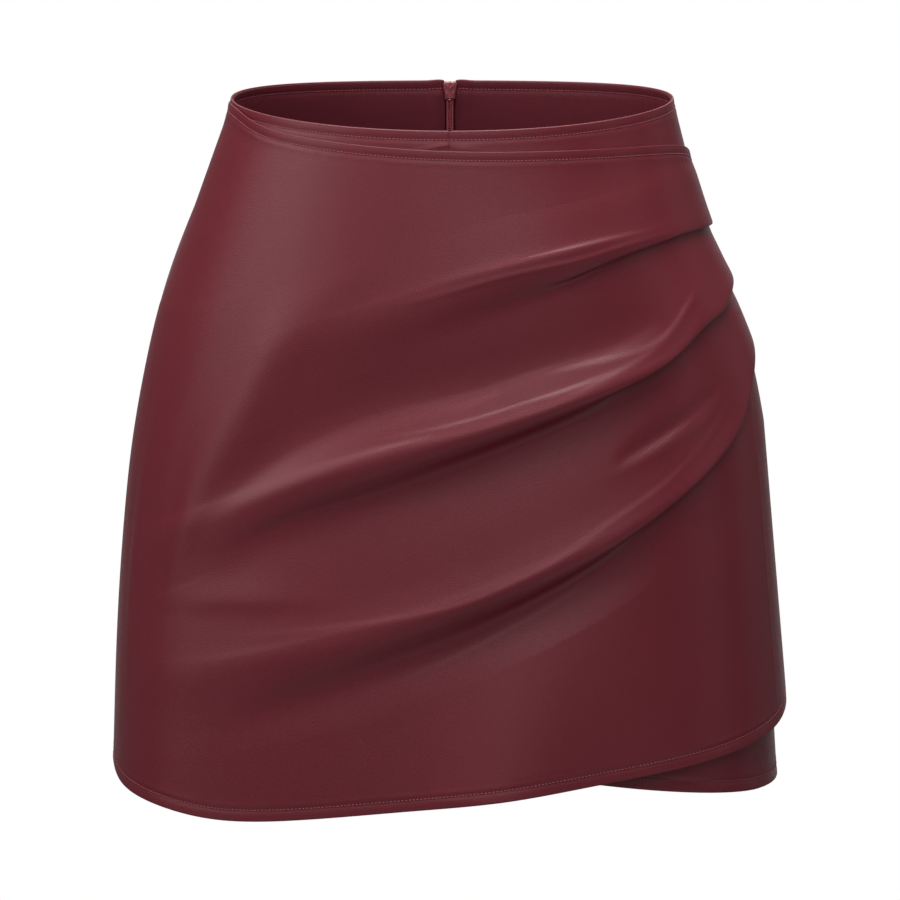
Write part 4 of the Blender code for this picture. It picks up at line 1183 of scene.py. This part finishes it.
def add_zip_tape(side, panel, look):
    """One side's tape, behind the back quarter's edge at the centre."""
    distances = np.linspace(TAPE_EDGE, TAPE_END_DROP - ZIP_TOP_DROP, TAPE_ROWS)
    start = notch_half_width(distances + ZIP_TOP_DROP, TAPE_SPREAD, TAPE_EDGE)
    end = [TAPE_WIDTH] * len(distances)
    points, out = strip_behind(panel, distances, start, end, np.linspace(0, 1, TAPE_COLUMNS))
    stand = LAYER_GAP + WALL
    outer, inner = points - out * stand, points - out * (stand + TAPE_WALL)
    shell = add_shell(f"tape_zip_{side}", outer, inner, out, (look, look))
    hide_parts(f"zip_tape_{side}")


def centre_back(drop):
    """Places down the centre back with the cloth's outward normals there."""
    return form_point(180, drop), form_normal(180, drop)


def add_zip_coil(look):
    """Two coils of plastic wire, hooked into each other, with a cord of sewing on each side."""
    turns = int((COIL_END_DROP - COIL_TOP_DROP) / COIL_PITCH)
    angle = np.linspace(0, 2 * math.pi * turns, turns * COIL_POINTS + 1)
    paths, outs = [], []
    for sign in (1, -1):
        turn = angle + (math.pi if sign < 0 else 0)
        drop = COIL_TOP_DROP + COIL_PITCH / 2 + COIL_PITCH * angle / (2 * math.pi)
        drop += COIL_PITCH * COIL_HOOK * sign * (1 - np.cos(turn)) / 2
        drop = np.clip(drop, COIL_TOP_DROP + COIL_WIRE, COIL_END_DROP - COIL_WIRE)
        place, out = centre_back(drop)
        half = COIL_HALF_WIDTH / 2
        across = sign * (half - COIL_OVERLAP + (half + COIL_OVERLAP) * np.cos(turn))
        stand = COIL_STAND + COIL_HALF_DEPTH * np.sin(turn) * sign
        place = place + out * stand[:, None]
        place[:, 0] = across
        paths.append(place)
        outs.append(out)
    parts = [tubes(np.array(paths), np.array(outs), COIL_WIRE, COIL_SIDES)]
    drop = np.linspace(COIL_TOP_DROP, COIL_END_DROP, CORD_POINTS)
    place, out = centre_back(drop)
    inside = COIL_STAND - COIL_HALF_DEPTH
    cords = [place + out * inside + np.array([sign * CORD_ACROSS, 0, 0]) for sign in (1, -1)]
    parts.append(tubes(np.array(cords), np.array([out, out]), CORD_RADIUS, CORD_SIDES))
    vertices, faces = join(parts)
    coil = add_object("coil_zip", vertices, faces, look)
    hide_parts("zip_chain")


def zip_place(points, top=ZIP_TOP_DROP, slope_end=ZIP_SLOPE_END):
    """Points given as (across, out, down) from a place on the centre back, in the row frame."""
    origin = form_point(180, top)
    down = form_point(180, slope_end) - origin
    down /= np.linalg.norm(down)
    out = np.array([0, -down[2], down[1]])
    points = np.asarray(points, float)
    return origin + points[:, :1] * np.array([1, 0, 0]) + points[:, 1:2] * out + points[:, 2:] * down


def arc(centre, radius, start, end, count):
    angles = np.radians(np.linspace(start, end, count))
    return [(centre[0] + radius * math.cos(a), centre[1] + radius * math.sin(a)) for a in angles]


def rounded_box(left, right, low, high, radius, count=7):
    """A rectangle with round corners, as an outline of (first, second) coordinates."""
    return [
        *arc((left + radius, low + radius), radius, 180, 270, count),
        *arc((right - radius, low + radius), radius, 270, 360, count),
        *arc((right - radius, high - radius), radius, 0, 90, count),
        *arc((left + radius, high - radius), radius, 90, 180, count),
    ]


def facing_out(parts):
    """The same mesh with its (across, down, level) points given as (across, out, down)."""
    vertices, faces = parts
    return vertices[:, [0, 2, 1]], [face[::-1] for face in faces]


def add_zip_stop(look):
    """A small clamp across both tapes at the zip's lower end."""
    half, down = STOP["half_width"], STOP["down"]
    outline = rounded_box(-half, half, down, down + STOP["length"], STOP["corner"])
    vertices, faces = facing_out(plate(outline, STOP["far"], STOP["near"], STOP["edge"]))
    place = zip_place(vertices, COIL_END_DROP, COIL_END_DROP + STOP["slope"])
    stop = add_object("metal_zip_stop", place, faces, look)
    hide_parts("zip_stop")


def slider_outline():
    """Round shoulders with a dip between them above, and a narrower mouth below."""
    across, down, radius = SHOULDER.values()
    corner = SLIDER["corner"]
    mouth, bottom = FLANK[-1][0] - corner, SLIDER["length"] - corner
    return [
        *arc((-across, down), radius, 165, 262, 9),
        *arc((0, DIP["down"]), DIP["radius"], 225, 315, 7),
        *arc((across, down), radius, 278, 375, 9), *FLANK,
        *arc((mouth, bottom), corner, 0, 90, 4), *arc((-mouth, bottom), corner, 90, 180, 4),
        *((-across, down) for across, down in FLANK[::-1]),
    ]


def add_zip_slider(look):
    """The slider: its body inside, a neck through the slot and a crown outside."""
    body = facing_out(plate(slider_outline(), SLIDER["far"], SLIDER["near"], SLIDER["edge"]))
    face = SLIDER["far"] - LINE_SINK
    bow = np.array([[(across, face, down) for across, down, _ in BOW]])
    rails = np.array([[(x, face, down) for down, _ in RAIL] for x in (-RAIL_ACROSS, RAIL_ACROSS)])
    inward = np.array([0, -1.0, 0])
    detail = [
        tubes(line, inward, [row[-1] for row in rows], ROUND_SIDES)
        for line, rows in ((bow, BOW), (rails, RAIL))
    ]
    for part in (body, *detail):
        part[0][:, 2] -= SLIDER["rise"]
    neck = rounded_box(SLIDER["near"] - NECK["into"], CROWN["low"] + NECK["over"], NECK["top"],
                       NECK["bottom"], NECK["corner"])
    stem = plate(neck, -NECK["half"], NECK["half"], NECK["edge"])
    stem = (stem[0][:, [2, 0, 1]], stem[1])
    half = CROWN["band"] / 2
    ring = rounded_box(CROWN["low"] + half, CROWN["high"] - half, CROWN["top"] + half,
                       CROWN["bottom"] - half, CROWN["corner"])
    ring = np.array([(0, out, down) for out, down in ring])
    # The ring's end overlaps its start, so that the tube looks closed.
    ring = np.roll(ring, -2, axis=0)
    ring = np.concatenate([ring, ring[:2]])
    crown = tubes(ring[None], np.array([1.0, 0, 0]), half * CROWN["thick"], CROWN["sides"])
    crown[0][:, 0] *= NECK["half"] / half * CROWN["narrow"]
    vertices, faces = join([body, *detail, stem, crown])
    slider = add_object("metal_zip_slider", zip_place(vertices), faces, look)
    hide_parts("zip_slider")


def pull_outline():
    """A narrow straight neck at the bar, wider and round below."""
    start, end = PULL["down"] - PULL["bar"], PULL["down"] + PULL["length"]
    neck, wide = PULL["neck_half"], PULL["half_width"]
    neck_end, corner = PULL["down"] + PULL["neck_end"], PULL["corner"]
    return [
        *arc((corner - neck, start + corner), corner, 180, 270, 4),
        *arc((neck - corner, start + corner), corner, 270, 360, 4),
        (neck, neck_end), *arc((0, end - wide), wide, 0, 180, 25), (-neck, neck_end),
    ]


def around(outline, centre, count, samples=40):
    """An outline as seen from a centre: a point at each of count even angles."""
    outline = np.array(outline + outline[:1], float) - centre
    dense = np.concatenate([
        a + (b - a) * np.linspace(0, 1, samples, endpoint=False)[:, None]
        for a, b in zip(outline, outline[1:])
    ])
    angle = np.unwrap(np.arctan2(dense[:, 1], dense[:, 0]))
    order = np.argsort(angle)
    wanted = angle.min() + np.arange(count) * 2 * math.pi / count
    found = [np.interp(wanted, angle[order], dense[order, i], period=2 * math.pi) for i in (0, 1)]
    return np.stack(found, axis=-1) + centre


def add_zip_pull(look):
    """A drop-shaped tab whose bar hangs in the slider's crown."""
    hole = rounded_box(-PULL["hole_half"], PULL["hole_half"], PULL["down"] + PULL["bar"],
                       PULL["down"] + PULL["hole"], PULL["hole_corner"])
    centre = np.array([0, PULL["down"] + (PULL["bar"] + PULL["hole"]) / 2])
    outer, inner = (around(line, centre, PULL["points"]) for line in (pull_outline(), hole))
    half, edge = PULL["thick"] / 2, PULL["edge"]
    turns = np.radians(np.linspace(0, 90, 5))
    rings = []
    # Round the tab's edge from its outer face to its inner face, then back through the hole
    for outline, way in ((outer, -1), (inner, 1)):
        grow = unit(outline - centre) * way
        levels = [(-half + edge * (1 - math.cos(t)), edge * (1 - math.sin(t))) for t in turns]
        levels += [(-level, inset) for level, inset in levels[::-1]]
        if way == 1:
            levels = levels[::-1]
        rings += [np.insert(outline + grow * inset, 2, level, axis=1) for level, inset in levels]
    count = len(outer)
    at = np.arange(len(rings) * count).reshape(len(rings), count)
    turned, lower = np.roll(at, -1, axis=1), np.roll(at, -1, axis=0)
    faces = np.stack([at, turned, np.roll(turned, -1, axis=0), lower], axis=-1).reshape(-1, 4)
    points = np.concatenate(rings)
    vertices, faces = facing_out((points, faces.tolist()))
    turn = math.radians(PULL["lean"])
    out, down = vertices[:, 1].copy(), vertices[:, 2] - PULL["down"]
    vertices[:, 1] = PULL["out"] + out * math.cos(turn) - down * math.sin(turn)
    vertices[:, 2] = PULL["down"] + down * math.cos(turn) + out * math.sin(turn)
    pull = add_object("metal_zip_pull", zip_place(vertices), faces, look, "pull")
    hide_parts("zip_pull")


# ---------------------------------------------------------------- stitches

def stitch_line(panel, edge, distance, face="outer"):
    """Points that far inside an edge of a panel, with the way out of the cloth there."""
    grid, normal, near = panel[face], panel["normal"], panel["near"][edge]
    if near[0].min() > near[-1].min():
        grid, normal, near = grid[::-1], normal[::-1], near[::-1]
    out = unit(line_in_grid(normal, near, distance))
    return line_in_grid(grid, near, distance), out


def stitches(line, out):
    """Vertices and faces of a row of stitches along a line of points."""
    length = run_length(line)
    count = int(length[-1] / STITCH_PITCH)
    middle = (np.arange(count) + 0.5) * length[-1] / count
    place = np.array(STITCH_RINGS["place"]) * STITCH_LENGTH / 2
    along = middle[:, None] + place
    up = unit(along_line(along, length, out))
    lift = STITCH_RADIUS * STITCH_LIFT - STITCH_DIP * np.square(STITCH_RINGS["place"])
    paths = along_line(along, length, line) + up * lift[:, None]
    return tubes(paths, up, np.array(STITCH_RINGS["size"]) * STITCH_RADIUS, STITCH_SIDES)


def painted_hole_shades(line, out):
    """Vertices and faces of near-black tubes between the stitches of a row: painted shade in the needle
    pits.
    """
    length = run_length(line)
    count = int(length[-1] / STITCH_PITCH)
    at = np.arange(1, count) * length[-1] / count
    place, ahead = along_line(at, length, line), along_line(at + 1, length, line)
    up = unit(along_line(at, length, out))
    paths = np.stack([place - up * HOLE_SHADE_SINK, place + up * HOLE_SHADE_LIFT], axis=1)
    return tubes(paths, (ahead - place)[:, None] + 0 * paths, HOLE_SHADE_RADIUS, STITCH_SIDES)


def add_stitches(name, lines, looks):
    """Rows of stitches, with near-black tubes between them: painted shade in the needle pits."""
    threads = join([stitches(*line) for line in lines])
    hole_shades = join([painted_hole_shades(*line) for line in lines])
    vertices, faces = join([threads, hole_shades])
    made = add_object(name, vertices, faces, looks[0])
    made.data.materials.append(looks[1])
    index = [0] * len(threads[1]) + [1] * len(hole_shades[1])
    made.data.polygons.foreach_set("material_index", index)


# ---------------------------------------------------------------- materials

def set_inputs(node, values):
    """Sets a node's inputs, by their names."""
    for name, value in values.items():
        node.inputs[name].default_value = value


def new_look(name, colour, roughness, specular=0.5):
    made = bpy.data.materials.new(name)
    made.use_nodes = True
    set_inputs(made.node_tree.nodes["Principled BSDF"], {
        "Base Color": (*colour, 1), "Roughness": roughness, "Specular IOR Level": specular,
    })
    return made


def pattern(look, kind, output, scale, stretch=(1, 1, 1), turn=(0, 0, 0), **inputs):
    """A texture laid in the piece's own space, at that many repeats to a metre. Returns an output."""
    nodes, links = look.node_tree.nodes, look.node_tree.links
    place, laid = nodes.new("ShaderNodeTexCoord"), nodes.new("ShaderNodeMapping")
    made = nodes.new(kind)
    set_inputs(laid, {"Scale": stretch, "Rotation": turn})
    set_inputs(made, {"Scale": scale, **inputs})
    links.new(place.outputs["Object"], laid.inputs["Vector"])
    links.new(laid.outputs["Vector"], made.inputs["Vector"])
    return made.outputs[output]


def raised(look, layers):
    """Bumps, one on another, from pairs of a pattern and its height in millimetres."""
    nodes, links = look.node_tree.nodes, look.node_tree.links
    normal = None
    for height, size in layers:
        made = nodes.new("ShaderNodeBump")
        made.inputs["Distance"].default_value = size * MM
        links.new(height, made.inputs["Height"])
        if normal:
            links.new(normal, made.inputs["Normal"])
        normal = made.outputs["Normal"]
    links.new(normal, nodes["Principled BSDF"].inputs["Normal"])


def varied(look, wanted, source, low, high):
    """Sets an input of the shader from a pattern: a number, or a colour between two."""
    nodes, links = look.node_tree.nodes, look.node_tree.links
    if isinstance(low, tuple):
        made = nodes.new("ShaderNodeMix")
        made.data_type = "RGBA"
        set_inputs(made, {"A": (*low, 1), "B": (*high, 1)})
        links.new(source, made.inputs["Factor"])
        result = made.outputs[2]
    else:
        made = nodes.new("ShaderNodeMapRange")
        set_inputs(made, {**PATTERN_RANGE, "To Min": low, "To Max": high})
        links.new(source, made.inputs["Value"])
        result = made.outputs["Result"]
    links.new(result, nodes["Principled BSDF"].inputs[wanted])


def coated_cloth(name, colour):
    """The right side of the cloth: a satin coating with a fine grain and hardly any waviness."""
    look = new_look(name, colour, 0.34, 0.5)
    soft = pattern(look, NOISE, 0, 55, Detail=1.0)
    grain = pattern(look, CELLS, "Distance", 1500)
    fine = pattern(look, NOISE, 0, 3800, Detail=2.0)
    raised(look, ((soft, 0.12), (grain, 0.06), (fine, 0.02)))
    varied(look, "Roughness", pattern(look, NOISE, 0, 260, Detail=3.0), 0.31, 0.37)
    cloud = pattern(look, NOISE, 0, 24, Detail=2.0)
    low, high = (tuple(part * share for part in colour) for share in (0.95, 1.05))
    varied(look, "Base Color", cloud, low, high)
    return look


def cloth_backing():
    """The wrong side: the coating's dull knitted backing."""
    look = new_look("cloth_backing", (0.115, 0.02, 0.027), 0.85, 0.3)
    ribs = pattern(look, WAVES, "Fac", 330, turn=(0, 0, 0.6), Distortion=1.5)
    rows = pattern(look, NOISE, 0, 1500, stretch=(1, 1, 2.5), Detail=2.0)
    raised(look, ((ribs, 0.05), (rows, 0.06)))
    cloud = pattern(look, NOISE, 0, 900, Detail=2.0)
    varied(look, "Base Color", cloud, (0.095, 0.017, 0.023), (0.135, 0.024, 0.032))
    return look


def woven_tape():
    """The zip's tape: a close twill."""
    look = new_look("zip_tape", (0.12, 0.02, 0.027), 0.75, 0.3)
    one = pattern(look, WAVES, "Fac", 480, turn=(0, 0.8, 0))
    other = pattern(look, WAVES, "Fac", 480, turn=(0, -0.8, 0))
    raised(look, ((one, 0.06), (other, 0.06)))
    varied(look, "Base Color", one, (0.095, 0.016, 0.022), (0.14, 0.024, 0.032))
    return look


def nylon_coil():
    look = new_look("zip_coil", (0.55, 0.12, 0.15), 0.5, 0.3)
    raised(look, ((pattern(look, NOISE, 0, 1800), 0.015),))
    return look


def lacquered_metal():
    """The slider and its tab: painted to match, with a slightly uneven gloss."""
    look = new_look("lacquered_metal", (0.42, 0.1, 0.12), 0.34)
    set_inputs(look.node_tree.nodes["Principled BSDF"], {"Coat Weight": 0.3})
    raised(look, ((pattern(look, NOISE, 0, 500, Detail=2.0), 0.02),))
    varied(look, "Roughness", pattern(look, NOISE, 0, 700), 0.28, 0.38)
    return look


def sewing_thread():
    look = new_look("sewing_thread", (0.36, 0.085, 0.1), 0.55, 0.4)
    raised(look, ((pattern(look, WAVES, "Fac", 900, turn=(0.5, 0.4, 0)), 0.03),))
    return look


# Near-black colour of the tubes between stitches: painted shade in the needle pits
def needle_hole_shade():
    return new_look("needle_hole_shade", (0.03, 0.005, 0.007), 0.8, 0.1)


# ---------------------------------------------------------------- studio



def add_aimed(name, data, azimuth, elevation, distance):
    """A camera or a light that looks at the garment's middle from that many metres away."""
    turn, rise = math.radians(azimuth), math.radians(elevation)
    way = Vector((math.sin(turn) * math.cos(rise), -math.cos(turn) * math.cos(rise), math.sin(rise)))
    made = bpy.data.objects.new(name, data)
    made.location = Vector(LOOK_AT) * MM + way * distance
    made.rotation_mode = "QUATERNION"
    made.rotation_quaternion = (-way).to_track_quat("-Z", "Y")
    bpy.context.scene.collection.objects.link(made)
    return made


def add_camera():
    data = bpy.data.cameras.new("camera")
    data.sensor_width = SENSOR
    data.lens = SENSOR * CAMERA_DISTANCE / (MM_PER_PIXEL * PICTURE_PIXELS)
    data.clip_end = 100
    camera = add_aimed("camera", data, 0, CAMERA_ELEVATION, CAMERA_DISTANCE * MM)
    bpy.context.scene.camera = camera


def add_lights():
    for name, azimuth, elevation, distance, width, height, power in zip(*LIGHTS.values()):
        data = bpy.data.lights.new(name, "AREA")
        data.shape = "RECTANGLE"
        data.size, data.size_y, data.energy = width, height, power
        light = add_aimed(name, data, azimuth, elevation, distance)
        light.visible_camera = False


def add_world():
    """A dim room for the reflections, in front of a plain white background."""
    world = bpy.data.worlds.new("studio")
    world.use_nodes = True
    bpy.context.scene.world = world
    nodes, links = world.node_tree.nodes, world.node_tree.links
    room = nodes["Background"]
    white = nodes.new("ShaderNodeBackground")
    for node, strength in ((room, ROOM_LIGHT), (white, 1.0)):
        set_inputs(node, {"Color": (1, 1, 1, 1), "Strength": strength})
    path = nodes.new("ShaderNodeLightPath")
    mix = nodes.new("ShaderNodeMixShader")
    links.new(path.outputs["Is Camera Ray"], mix.inputs["Fac"])
    links.new(room.outputs["Background"], mix.inputs[1])
    links.new(white.outputs["Background"], mix.inputs[2])
    links.new(mix.outputs["Shader"], nodes["World Output"].inputs["Surface"])


def add_floor():
    """A plain pale floor, well below the garment, that fades out at its rim."""
    look = new_look("floor", FLOOR_COLOUR, 0.9)
    nodes, links = look.node_tree.nodes, look.node_tree.links
    place = nodes.new("ShaderNodeTexCoord")
    reach = nodes.new("ShaderNodeVectorMath")
    reach.operation = "LENGTH"
    fade = nodes.new("ShaderNodeMapRange")
    fade.interpolation_type = "SMOOTHSTEP"
    start, end = (FLOOR_RADIUS * MM * share for share in FLOOR_FADE)
    set_inputs(fade, {"From Min": start, "From Max": end, "To Min": 1, "To Max": 0})
    links.new(place.outputs["Object"], reach.inputs[0])
    links.new(reach.outputs["Value"], fade.inputs["Value"])
    links.new(fade.outputs["Result"], nodes["Principled BSDF"].inputs["Alpha"])
    angle = np.arange(FLOOR_SIDES) * 2 * math.pi / FLOOR_SIDES
    rim = np.stack([np.cos(angle), np.sin(angle), 0 * angle], axis=-1) * FLOOR_RADIUS * MM
    mesh = bpy.data.meshes.new("floor")
    mesh.from_pydata(rim.tolist(), [], [list(range(FLOOR_SIDES))])
    mesh.materials.append(look)
    floor = bpy.data.objects.new("floor", mesh)
    floor.location = (0, 0, -FLOOR_DROP * MM)
    bpy.context.scene.collection.objects.link(floor)


def main():
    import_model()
    bpy.context.scene.view_settings.view_transform = "Standard"
    add_camera()
    add_lights()
    add_world()
    add_floor()
    cloth = coated_cloth("coated_cloth", CLOTH_COLOUR)
    backing = cloth_backing()
    lacquer = lacquered_metal()
    panels = {}
    for side in SIDE_SEAM:
        for face in ("front", "back"):
            panels[face, side] = add_shorts(side, face, (cloth, backing))
    drape = add_drape((cloth, backing))
    # The facing is the same cloth in a lighter, pinker colour: painted light and sheen inside the
    # waist.
    facings = add_facings(panels, (backing, coated_cloth("facing_cloth_painted_light", FACING_PAINTED_LIGHT_COLOUR)))
    tape = woven_tape()
    for side in SIDE_SEAM:
        add_zip_tape(side, panels["back", side], tape)
    add_zip_coil(nylon_coil())
    add_zip_stop(lacquer)
    add_zip_slider(lacquer)
    add_zip_pull(lacquer)
    # Thread, and painted shade in the needle pits
    sewing = (sewing_thread(), needle_hole_shade())
    waist = [stitch_line(panel, "waist", WAIST_STITCH) for panel in panels.values()]
    add_stitches("stitches_waist", waist, sewing)
    inside = [stitch_line(facing, "waist", WAIST_STITCH, "inner") for facing in facings.values()]
    add_stitches("stitches_facing", inside, sewing)
    for side in SIDE_SEAM:
        legs = [stitch_line(panels[face, side], "hem", HEM_STITCH) for face in ("front", "back")]
        add_stitches(f"stitches_leg_{side}", legs, sewing)
    add_stitches("stitches_drape_top", [stitch_line(drape, "top", WAIST_STITCH)], sewing)
    add_stitches("stitches_drape_hem", [stitch_line(drape, "hem", HEM_STITCH)], sewing)


main()
